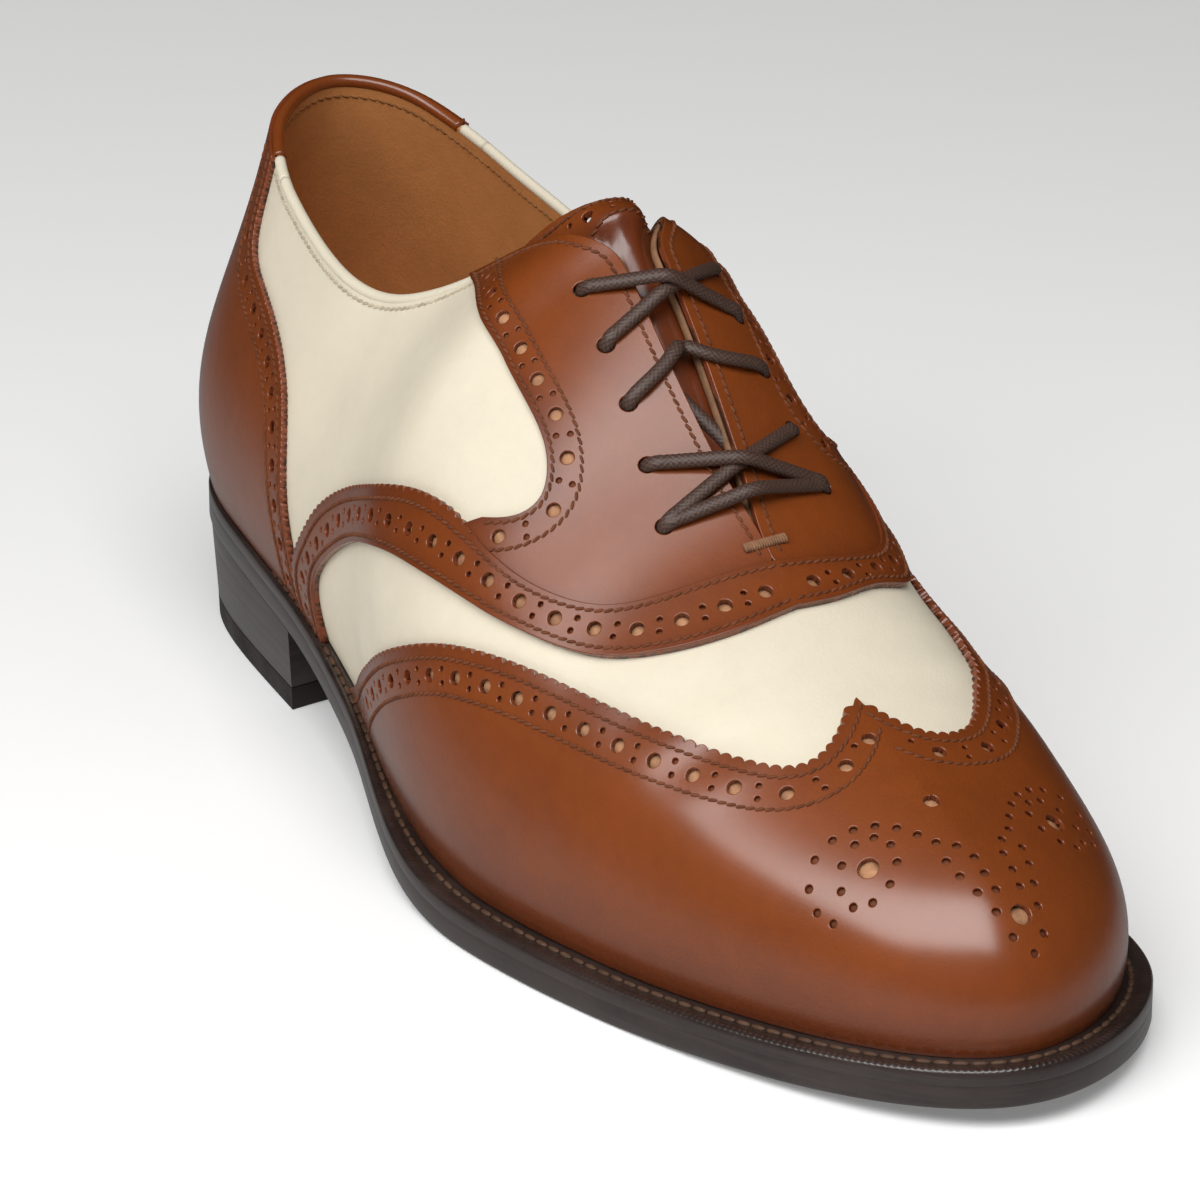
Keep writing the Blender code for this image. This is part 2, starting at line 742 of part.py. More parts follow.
def strap_pattern(side):
    foot = STRAP_FOOT if side > 0 else STRAP_FOOT_INNER
    return np.concatenate([seam_line(STRAP_TOP, side), seam_line(foot, side)[::-1]])


def facing_pattern(side):
    """Facing from its rear edge round the top of the strap and back up the throat."""
    rear = seam_line(FACING_REAR)
    strap = seam_line(STRAP_TOP)
    foot = strap[strap[:, 0] > rear[-1, 0]] + np.array([-SEAM_TURN, SEAM_RISE])
    foot[:, 1] = np.minimum(foot[:, 1], FACING_TOP)
    rear[:, 1] = np.minimum(rear[:, 1], FACING_TOP)
    pattern = np.concatenate([rear, foot])
    if side < 0:
        pattern[:, 0] = 2 - pattern[:, 0]
    return pattern


def counter_pattern():
    outer = seam_line(COUNTER_FRONT)
    inner = outer[::-1] * np.array([-1, 1])
    pattern = np.concatenate([outer, inner])
    pattern[:, 1] = np.minimum(pattern[:, 1], FACING_TOP)
    return pattern


def bezier(start, first, second, end, share):
    t = np.asarray(share)[:, None]
    return (1 - t) ** 3 * start + 3 * (1 - t) ** 2 * t * first + 3 * (1 - t) * t * t * second + t ** 3 * end


def spread(points, count):
    """The same polyline with evenly spaced points."""
    reach = np.concatenate([[0], np.cumsum(np.linalg.norm(np.diff(points, axis=0), axis=1))])
    steps = np.linspace(0, reach[-1], count)
    return np.stack([np.interp(steps, reach, points[:, k]) for k in range(3)], axis=-1)


def tongue_section(turn):
    """Tongue across the throat at one turn: under both facings and arched between them."""
    rises = np.linspace(TONGUE_SIDE, 1.0, TONGUE_SIDE_STEPS)
    outer = LAST.at_depth(turn, rises, TONGUE_DEPTH)
    inner = LAST.at_depth(2 - turn, rises, TONGUE_DEPTH)
    knots = column(TONGUE_LIFT, TONGUE_COLUMNS, "turn")
    forward = float(steady(knots, column(TONGUE_LIFT, TONGUE_COLUMNS, "forward"))(turn))
    lift = float(steady(knots, column(TONGUE_LIFT, TONGUE_COLUMNS, "up"))(turn))
    middle = (outer[-1] + inner[-1]) / 2 + np.array([forward, 0.0, lift])
    half = np.linalg.norm(outer[-1] - inner[-1]) / 2
    level_way = np.array([0.0, 1.0, 0.0])
    arch = []
    for edge, sign in ((outer, 1), (inner, -1)):
        way = edge[-1] - edge[-2]
        way = way / np.linalg.norm(way)
        first = edge[-1] + way * half * ARCH_REACH
        second = middle - level_way * sign * half * CROWN_REACH
        arch.append(bezier(edge[-1], first, second, middle, np.linspace(0, 1, ARCH_STEPS)[1:]))
    return spread(np.concatenate([outer, arch[0], arch[1][::-1][1:], inner[::-1]]), TONGUE_ACROSS)


def make_tongue(material, collection):
    turns = np.linspace(TONGUE_TOP, TONGUE_FOOT, TONGUE_ROWS)
    rows = np.array([tongue_section(turn) for turn in turns])
    bm = bmesh.new()
    bmesh.ops.create_grid(bm, x_segments=TONGUE_ACROSS - 1, y_segments=TONGUE_ROWS - 1, size=1.0)

    def place(x, y):
        across = np.rint((x + 1) / 2 * (TONGUE_ACROSS - 1)).astype(int)
        down = np.rint((1 - y) / 2 * (TONGUE_ROWS - 1)).astype(int)
        return rows[down, across]

    lay(bm, place)
    tongue = finish_object("tongue", bm, material, collection)
    thicken(tongue, TONGUE_THICKNESS, outward=False)
    return tongue


def lace_run(start, end, lift, climb=0.0):
    """Route of a lace over the throat from an outer to an inner eyelet, given as side and number.

    The lift carries it over another run; the climb moves its middle up the throat.
    """
    seat = OVERLAY_GAP + OVERLAY_THICKNESS + SEAT_GAP + LACE_DIAMETER / 2
    turns = column(EYELETS, EYELET_COLUMNS, "turn")
    rises = column(EYELETS, EYELET_COLUMNS, "rise")
    ends = []
    for side, number in (start, end):
        turn = turns[number] if side > 0 else 2 - turns[number]
        ends.append(LAST.at_depth(turn, rises[number], -seat))
    turn = (turns[start[1]] + turns[end[1]]) / 2 - climb
    edges = LAST.at_depth(np.array([turn, 2 - turn]), 1.0, -seat - lift)
    knots = np.array([ends[0], edges[0], edges[1], ends[1]])
    shares = np.array([0.0, *EDGE_SHARES, 1.0])
    steps = np.linspace(0, 1, LACE_STEPS)
    return np.stack([cubic(shares, knots[:, k])(steps) for k in range(3)], axis=-1)


def lace_tube(points, collection):
    """Round cord along a route, as a closed mesh."""
    curve = bpy.data.curves.new("lace", "CURVE")
    curve.dimensions = "3D"
    curve.bevel_depth = LACE_DIAMETER / 2 * MM
    curve.bevel_resolution = 2
    curve.use_fill_caps = True
    spline = curve.splines.new("POLY")
    spline.points.add(len(points) - 1)
    for point, spot in zip(spline.points, points):
        point.co = (*(spot * MM), 1.0)
    cord = bpy.data.objects.new("lace", curve)
    collection.objects.link(cord)
    bpy.context.view_layer.update()
    mesh = bpy.data.meshes.new_from_object(cord.evaluated_get(bpy.context.evaluated_depsgraph_get()))
    bpy.data.objects.remove(cord, do_unlink=True)
    bm = bmesh.new()
    bm.from_mesh(mesh)
    bmesh.ops.remove_doubles(bm, verts=bm.verts, dist=WELD * MM)
    bm.to_mesh(mesh)
    bm.free()
    return mesh


def make_lace(name, runs, material, parts, cutters):
    """Crossing of several runs of lace, joined into one body."""
    tubes = [lace_tube(run, cutters) for run in runs]
    tubes[0].materials.clear()
    tubes[0].materials.append(material)
    lace = bpy.data.objects.new(name, tubes[0])
    parts.objects.link(lace)
    for number, mesh in enumerate(tubes[1:]):
        other = bpy.data.objects.new(name + "_run_" + str(number), mesh)
        other.hide_render = True
        other.display_type = "WIRE"
        cutters.objects.link(other)
        join = lace.modifiers.new("Join", "BOOLEAN")
        join.operation = "UNION"
        join.object = other
    return lace


def make_laces(material, parts, cutters):
    outer, inner = 1, -1
    over = LACE_DIAMETER * CROSS_SINK
    top = [lace_run((outer, 0), (inner, 1), over), lace_run((outer, 1), (inner, 0), 0.0)]
    middle = [lace_run((outer, 2), (inner, 2), 0.0, CHEVRON_CLIMB)]
    low = [lace_run((outer, 3), (inner, 4), over), lace_run((outer, 4), (inner, 3), 0.0)]
    low.append(lace_run((outer, 4), (inner, 4), 0.0))
    make_lace("lace_cross_top", top, material, parts, cutters)
    make_lace("lace_chevron", middle, material, parts, cutters)
    make_lace("lace_cross_low", low, material, parts, cutters)


def stand_on_origin(parts, cutters):
    """Hang every piece on one empty that brings the middle of the shoe's box over the origin."""
    bpy.context.view_layer.update()
    graph = bpy.context.evaluated_depsgraph_get()
    boxes = [item.evaluated_get(graph).bound_box for item in parts.objects]
    corners = np.array([corner[:] for box in boxes for corner in box])
    middle = (corners.min(axis=0) + corners.max(axis=0)) / 2
    anchor = bpy.data.objects.new("shoe", None)
    pieces = parts.objects[:] + cutters.objects[:]
    parts.objects.link(anchor)
    anchor.location = (-middle[0], -middle[1], 0.0)
    for item in pieces:
        item.parent = anchor


def main():
    clear_scene()
    parts = make_collection("wingtip_brogue")
    cutters = make_collection("lace_runs")
    brown = make_material("brown_calf", (0.22, 0.075, 0.028), 0.32)
    cream = make_material("cream_calf", (0.70, 0.63, 0.50), 0.42)
    dark = make_material("sole_edge", (0.030, 0.020, 0.015), 0.30)
    leather = make_material("insole_leather", (0.42, 0.24, 0.11), 0.55)
    rubber = make_material("top_piece", (0.018, 0.015, 0.014), 0.60)
    cord = make_material("waxed_cord", (0.045, 0.028, 0.020), 0.45)
    make_outsole(dark, parts)
    make_welt(dark, parts)
    make_heel(dark, rubber, parts)
    make_insole(leather, parts)
    make_upper(cream, parts)
    make_overlay("wing_cap", [wing_pattern()], brown, parts)
    make_overlay("strap", [strap_pattern(1), strap_pattern(-1)], brown, parts)
    make_overlay("facing_outer", [facing_pattern(1)], brown, parts)
    make_overlay("facing_inner", [facing_pattern(-1)], brown, parts)
    make_overlay("counter", [counter_pattern()], brown, parts)
    make_tongue(brown, parts)
    make_laces(cord, parts, cutters)
    stand_on_origin(parts, cutters)


main()
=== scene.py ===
"""Wingtip brogue, right shoe: leather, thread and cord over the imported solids.

A place on the upper is a turn and a rise: turn 0 is the middle of the heel, 1 the middle of the toe,
0..1 the outer side and 1..2 the inner side; rise 0 is the feather line above the welt and 1 the top
edge, which is collar, facing top, throat and, past the throat, the ridge of the vamp.  Lengths are in
mm, counted from the back of the sole and the middle of the heel, until a piece is finished.
"""
import math

import bmesh
import bpy
import numpy as np
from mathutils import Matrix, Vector, kdtree


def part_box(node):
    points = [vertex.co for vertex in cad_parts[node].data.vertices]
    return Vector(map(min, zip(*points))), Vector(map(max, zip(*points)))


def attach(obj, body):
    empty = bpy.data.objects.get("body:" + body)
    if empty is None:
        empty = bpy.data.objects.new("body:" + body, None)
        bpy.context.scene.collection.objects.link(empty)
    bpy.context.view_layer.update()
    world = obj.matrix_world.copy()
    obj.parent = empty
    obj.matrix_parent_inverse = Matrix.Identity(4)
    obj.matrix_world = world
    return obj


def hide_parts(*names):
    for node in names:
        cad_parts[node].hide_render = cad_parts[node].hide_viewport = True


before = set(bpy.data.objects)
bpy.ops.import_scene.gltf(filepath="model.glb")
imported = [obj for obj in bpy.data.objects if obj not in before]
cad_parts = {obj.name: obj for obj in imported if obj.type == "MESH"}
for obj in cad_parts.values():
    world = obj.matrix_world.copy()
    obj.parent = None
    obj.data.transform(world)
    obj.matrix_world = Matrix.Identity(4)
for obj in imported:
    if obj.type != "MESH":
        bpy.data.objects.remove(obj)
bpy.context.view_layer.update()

bl_info = {
    "name": "Wingtip brogue",
    "version": (1, 0, 0),
    "blender": (4, 5, 0),
    "location": "3D View > Sidebar > Brogue",
    "description": "Dresses the solids of a wingtip brogue in leather, thread and cord",
    "category": "Object",
}

MM = 0.001

# The last: driving sizes.
SOLE_LENGTH = 305.0
SOLE_EDGE = 8.0
OUTSOLE_THICKNESS = 4.7
WELT_THICKNESS = 3.0
HEEL_BREAST = 76.0
HEEL_HOLLOW = 3.0
HEEL_TAPER = 0.965
HEEL_INSET = 0.4
TOP_PIECE_THICKNESS = 5.0
TOP_PIECE_TAPER = 0.995
INSOLE_THICKNESS = 2.6
UPPER_WALL = 1.6
TONGUE_THICKNESS = 1.6
SEAT_GAP = 0.3
TONGUE_DEPTH = UPPER_WALL + 0.9

# Sole outline: half widths at shares of the length, and the roundness of heel and toe.
SOLE_COLUMNS = ("share", "outer", "inner")
SOLE = (
    (0.13, 31.6, 33.0),
    (0.25, 36.0, 31.8),
    (0.40, 43.5, 29.5),
    (0.55, 56.0, 37.0),
    (0.68, 54.0, 46.5),
    (0.78, 46.5, 49.0),
    (0.90, 32.5, 42.0),
)
HEEL_ROUND = 67.8
TOE_ROUND = 61.5
TOE_SWING = 4.7

# Height of the sole's underside: heel seat, arch, flat tread and toe spring.
BED_COLUMNS = ("share", "height")
BED = (
    (0.00, 22.0),
    (0.12, 21.3),
    (0.25, 18.5),
    (0.36, 11.5),
    (0.48, 4.9),
    (0.62, 0.0),
    (0.75, 0.0),
    (0.88, 1.4),
    (1.00, 4.5),
)

# Width of welt that shows outside the upper.
WELT_COLUMNS = ("share", "width")
WELT = ((0.0, 2.0), (0.25, 2.5), (0.42, 4.0), (0.60, 7.3), (1.0, 7.3))
WELT_UNDER_UPPER = 6.0

# Top edge of the upper on either side of the middle line.
THROAT_END = 0.62
CREST_COLUMNS = ("turn", "along", "across", "height")
CREST = (
    (0.000, 15.5, 0.0, 113.0),
    (0.060, 19.5, 10.5, 111.7),
    (0.120, 27.5, 18.0, 108.3),
    (0.200, 48.0, 24.8, 101.0),
    (0.290, 77.0, 28.0, 94.8),
    (0.360, 98.0, 25.0, 95.0),
    (0.410, 117.5, 19.0, 104.0),
    (0.445, 132.5, 14.0, 113.5),
    (0.475, 145.0, 9.5, 119.5),
    (0.505, 154.5, 4.3, 117.0),
    (0.550, 173.0, 3.5, 102.5),
    (0.585, 189.5, 2.2, 88.3),
    (THROAT_END, 205.0, 0.0, 75.7),
    (0.670, 217.5, 0.0, 67.6),
    (0.730, 229.5, 0.0, 61.2),
    (0.800, 241.0, 0.0, 55.9),
    (0.900, 254.5, 0.0, 50.7),
    (1.000, 262.5, 0.0, 48.0),
)
MIDDLE_COLUMNS = ("along", "across")
MIDDLE = ((0.0, 5.0), (100.0, 4.6), (150.0, 3.5), (200.0, 2.2), (262.0, 2.8))

# Wall from feather line to top edge: lean outwards at the welt, reach of the two curve handles
# and slope at the top edge, in degrees below level.
WALL_COLUMNS = ("turn", "bulge", "low_reach", "high_reach", "slope")
WALL_OUTER = (
    (0.00, 14.0, 0.40, 0.50, 79.0),
    (0.12, 14.0, 0.39, 0.50, 76.0),
    (0.25, 14.5, 0.41, 0.51, 73.0),
    (0.36, 14.5, 0.42, 0.54, 60.0),
    (0.41, 14.5, 0.43, 0.55, 46.0),
    (0.50, 15.0, 0.49, 0.64, 29.0),
    (0.62, 15.0, 0.56, 0.68, 17.0),
    (0.75, 14.0, 0.56, 0.63, 10.0),
    (0.88, 12.5, 0.58, 0.59, 10.0),
    (1.00, 11.0, 0.59, 0.57, 10.0),
)
WALL_INNER = (
    (0.00, 14.0, 0.40, 0.50, 79.0),
    (0.12, 11.0, 0.40, 0.50, 80.0),
    (0.25, 7.0, 0.41, 0.51, 84.0),
    (0.36, 7.0, 0.42, 0.54, 74.0),
    (0.41, 8.5, 0.43, 0.55, 52.0),
    (0.50, 14.0, 0.52, 0.69, 29.0),
    (0.62, 18.0, 0.66, 0.76, 17.0),
    (0.75, 14.5, 0.58, 0.64, 10.0),
    (0.88, 13.5, 0.59, 0.60, 10.0),
    (1.00, 11.0, 0.59, 0.57, 10.0),
)
COLLAR_BLEND = (0.38, 0.56)
RIDGE_BLEND = (0.56, 0.66)
RIDGE_BEHIND = 0.03
RIDGE_STRETCH = 0.045

# Seams of the overlays on the outer side; the inner side mirrors them, but for wing edge and strap foot.
SEAM_COLUMNS = ("turn", "rise")
WING_OUTER = (
    (0.415, 0.000),
    (0.474, 0.158),
    (0.523, 0.288),
    (0.572, 0.418),
    (0.618, 0.490),
    (0.672, 0.548),
    (0.719, 0.612),
    (0.748, 0.668),
    (0.770, 0.752),
    (0.782, 0.850),
    (0.786, 0.930),
    (0.784, 1.000),
)
WING_INNER = WING_OUTER[:5] + (
    (0.668, 0.560),
    (0.729, 0.666),
    (0.758, 0.714),
    (0.782, 0.770),
    (0.800, 0.830),
    (0.811, 0.904),
    (0.808, 0.960),
    (0.784, 1.000),
)
STRAP_TOP = (
    (0.352, 0.000),
    (0.354, 0.132),
    (0.371, 0.282),
    (0.394, 0.408),
    (0.430, 0.450),
    (0.468, 0.460),
    (0.521, 0.528),
    (0.580, 0.596),
    (0.603, 0.660),
    (0.621, 0.810),
    (0.630, 1.000),
)
STRAP_FOOT = (
    (0.376, 0.000),
    (0.380, 0.164),
    (0.403, 0.288),
    (0.441, 0.354),
    (0.471, 0.374),
    (0.535, 0.446),
    (0.582, 0.516),
    (0.613, 0.580),
    (0.635, 0.670),
    (0.662, 0.880),
    (0.668, 1.000),
)
STRAP_FOOT_INNER = STRAP_FOOT[:6] + (
    (0.577, 0.510),
    (0.603, 0.565),
    (0.622, 0.640),
    (0.637, 0.780),
    (0.653, 0.890),
    (0.668, 1.000),
)
FACING_REAR = (
    (0.414, 1.000),
    (0.444, 0.900),
    (0.473, 0.814),
    (0.505, 0.768),
    (0.530, 0.760),
    (0.548, 0.742),
    (0.556, 0.700),
    (0.553, 0.640),
    (0.541, 0.584),
)
COUNTER_FRONT = (
    (0.347, 0.000),
    (0.346, 0.100),
    (0.335, 0.310),
    (0.317, 0.490),
    (0.291, 0.638),
    (0.258, 0.732),
    (0.210, 0.788),
    (0.165, 0.850),
    (0.154, 1.000),
)
COUNTER_TOP = COUNTER_FRONT[-1][0]
FACING_CORNER = FACING_REAR[0][0]

# How far the tongue's middle stands forward and up from the line between the facings' edges.
TONGUE_COLUMNS = ("turn", "forward", "up")
TONGUE_LIFT = (
    (0.418, 18.0, 20.0),
    (0.465, 5.0, 8.5),
    (0.500, 0.5, 2.0),
    (0.540, 0.0, 0.5),
    (0.700, 0.0, 0.0),
)
TONGUE_TOP = 0.418
TONGUE_FOOT = 0.665
TONGUE_SIDE = 0.80
ARCH_REACH = 0.5
CROWN_REACH = 0.7

# Eyelets, counted from the top of the throat.
EYELET_COLUMNS = ("turn", "rise")
EYELETS = ((0.506, 0.928), (0.532, 0.918), (0.554, 0.908), (0.575, 0.886), (0.596, 0.850))
# The inner eyelets lie a little further back and further from the throat.
INNER_EYELETS = (-0.007, -0.055)

# Soft creases: two ends on the outer side, depth and half width; the inner side mirrors them.
CREASE_COLUMNS = ("turn", "rise", "end_turn", "end_rise", "depth", "width")
CREASES = (
    (0.640, 0.420, 0.700, 0.930, 0.30, 4.5),
    (0.668, 0.380, 0.735, 0.860, 0.24, 4.0),
    (0.630, 0.060, 0.618, 0.380, 0.16, 2.4),
    (0.500, 0.120, 0.455, 0.300, 0.25, 5.0),
    (0.300, 0.760, 0.380, 0.640, 0.28, 6.0),
)

# Medallion of the toe: pinholes of one half, counted from its middle; scrolls and tail have a large hole.
MEDALLION_COLUMNS = ("forward", "aside")
MEDALLION = (
    (1.0, 26.4),
    (-2.4, 27.8),
    (-5.8, 27.6),
    (-8.2, 25.2),
    (-8.4, 21.6),
    (-7.4, 18.0),
    (-5.6, 14.6),
    (-3.0, 11.7),
    (0.2, 9.3),
    (3.3, 7.3),
    (5.6, 4.5),
    (8.7, 2.9),
    (12.0, 2.8),
    (15.2, 2.4),
    (7.4, 7.6),
    (10.9, 6.9),
    (14.6, 5.6),
    (18.4, 4.1),
    (22.1, 3.0),
)
MEDALLION_PLACE = (270.7, 6.1)
PIN_RADIUS = 0.75
SCROLL_ASIDE = 19.0
SCROLL_HOLE = 1.9
SCROLL_PINS = 9
SCROLL_RADIUS = 5.0
TAIL = (19.6, 0.0)
TAIL_TIP = (24.2, 0.0)
LONE_HOLE = (265.6, 2.6)
PEAK_HOLE = (0.822, 0.935)

# Rough length of one whole turn and one whole rise.
TURN_MM = 380.0
RISE_MM = 90.0
NORMAL_CEILING = 0.985
FOOT_RISE = 0.004

# Camera that took the photo: its angles, distance, lens and aim, and the closer framing of one shoe.
VIEW_AZIMUTH = 58.86
VIEW_ELEVATION = 21.39
VIEW_DISTANCE = 1300.0
VIEW_AIM = (105.57, 89.78, 40.0)
SHOE_AIM = (152.0, -4.0, 47.0)
PHOTO_LENS = 144.27
SENSOR = 36.0


def column(table, names, name):
    """One named column of a table as an array."""
    return np.array([row[names.index(name)] for row in table], dtype=float)


def cubic(knots, values, closed=False):
    """Cubic spline through the knots: natural ends, or closed with a repeating end."""
    knots = np.asarray(knots, dtype=float)
    values = np.asarray(values, dtype=float)
    step = np.diff(knots)
    slope = np.diff(values) / step
    count = len(knots)
    system = np.eye(count)
    bend = np.zeros(count)
    for i in range(1, count - 1):
        system[i, i - 1:i + 2] = step[i - 1], 2 * (step[i - 1] + step[i]), step[i]
        bend[i] = 6 * (slope[i] - slope[i - 1])
    if closed:
        system[0, :2] = 2 * (step[0] + step[-1]), step[0]
        system[0, -2] = step[-1]
        bend[0] = 6 * (slope[0] - slope[-1])
        system[-1, 0] = -1
    moment = np.linalg.solve(system, bend)

    def value(at):
        at = np.asarray(at, dtype=float)
        if closed:
            at = knots[0] + np.mod(at - knots[0], knots[-1] - knots[0])
        i = np.clip(np.searchsorted(knots, at) - 1, 0, count - 2)
        width = step[i]
        before = at - knots[i]
        after = knots[i + 1] - at
        curved = (moment[i] * after ** 3 + moment[i + 1] * before ** 3) / (6 * width)
        left = (values[i] / width - moment[i] * width / 6) * after
        right = (values[i + 1] / width - moment[i + 1] * width / 6) * before
        return curved + left + right

    return value


def steady(knots, values):
    """Monotone cubic through the knots: flat stretches stay flat."""
    knots = np.asarray(knots, dtype=float)
    values = np.asarray(values, dtype=float)
    step = np.diff(knots)
    slope = np.diff(values) / step
    tangent = np.zeros(len(knots))
    tangent[0] = slope[0]
    tangent[-1] = slope[-1]
    for i in range(1, len(knots) - 1):
        if slope[i - 1] * slope[i] > 0:
            first = 2 * step[i] + step[i - 1]
            second = step[i] + 2 * step[i - 1]
            tangent[i] = (first + second) / (first / slope[i - 1] + second / slope[i])

    def value(at):
        at = np.clip(np.asarray(at, dtype=float), knots[0], knots[-1])
        i = np.clip(np.searchsorted(knots, at) - 1, 0, len(knots) - 2)
        t = (at - knots[i]) / step[i]
        start = (1 + 2 * t) * (1 - t) ** 2 * values[i] + t * (1 - t) ** 2 * step[i] * tangent[i]
        end = t * t * (3 - 2 * t) * values[i + 1] - t * t * (1 - t) * step[i] * tangent[i + 1]
        return start + end

    return value


def mirrored(turns, values):
    """Closed spline over turns 0..2, the same on both sides of the toe."""
    turns = np.concatenate([turns, 2 - turns[-2::-1]])
    values = np.concatenate([values, values[-2::-1]])
    return cubic(turns, values, closed=True)


def smooth_step(value, low, high):
    """0 below low, 1 above high, with soft ends."""
    t = np.clip((value - low) / (high - low), 0.0, 1.0)
    return t * t * (3 - 2 * t)


def level(vectors):
    """Plan vectors as space vectors."""
    return np.concatenate([vectors, np.zeros(vectors.shape[:-1] + (1,))], axis=-1)


def unit(vectors):
    length = np.linalg.norm(vectors, axis=-1, keepdims=True)
    return vectors / np.maximum(length, 1e-12)


def dot(first, second):
    return (first * second).sum(axis=-1)


def run_along(line):
    """Length of a line of points up to each of them."""
    return np.concatenate([[0.0], np.cumsum(np.linalg.norm(np.diff(line, axis=0), axis=1))])


class Face:
    """A curved sheet with two coordinates on which leather is laid."""

    scale = (1.0, 1.0)
    origin = (0.0, 0.0)
    nudge = 0.002
    low = (-9.0, 0.0)
    high = (9.0, 1.0)

    def tangents(self, a, b):
        """How the place changes with each coordinate, in mm for one whole coordinate."""
        a, b = np.broadcast_arrays(np.asarray(a, dtype=float), np.asarray(b, dtype=float))
        a = np.clip(a, self.low[0] + self.nudge, self.high[0] - self.nudge)
        b = np.clip(b, self.low[1] + self.nudge, self.high[1] - self.nudge)
        first = self.surface(a + self.nudge, b) - self.surface(a - self.nudge, b)
        second = self.surface(a, b + self.nudge) - self.surface(a, b - self.nudge)
        return first / (2 * self.nudge), second / (2 * self.nudge)

    def normal(self, a, b):
        return unit(np.cross(*self.tangents(a, b)))

    def relief(self, a, b):
        """Height of creases over the plain sheet."""
        return np.zeros(np.broadcast(a, b).shape)

    def place(self, a, b, height=0.0):
        lift = self.relief(a, b) + height
        return self.surface(a, b) + self.normal(a, b) * lift[..., None]

    def solve(self, a, b, first, second):
        """Coefficients of the two tangents whose products with them are the given values."""
        along_a, along_b = self.tangents(a, b)
        aa = dot(along_a, along_a)
        ab = dot(along_a, along_b)
        bb = dot(along_b, along_b)
        size = np.maximum(aa * bb - ab * ab, 1e-9)
        return (bb * first - ab * second) / size, (aa * second - ab * first) / size

    def slide(self, a, b, way):
        """Change of the coordinates for a short way along the sheet."""
        along_a, along_b = self.tangents(a, b)
        return self.solve(a, b, dot(along_a, way), dot(along_b, way))

    def shading(self, a, b):
        """Normal of the creased sheet."""
        step = self.nudge
        first = (self.relief(a + step, b) - self.relief(a - step, b)) / (2 * step)
        second = (self.relief(a, b + step) - self.relief(a, b - step)) / (2 * step)
        give_a, give_b = self.solve(a, b, first, second)
        along_a, along_b = self.tangents(a, b)
        return unit(self.normal(a, b) - along_a * give_a[..., None] - along_b * give_b[..., None])


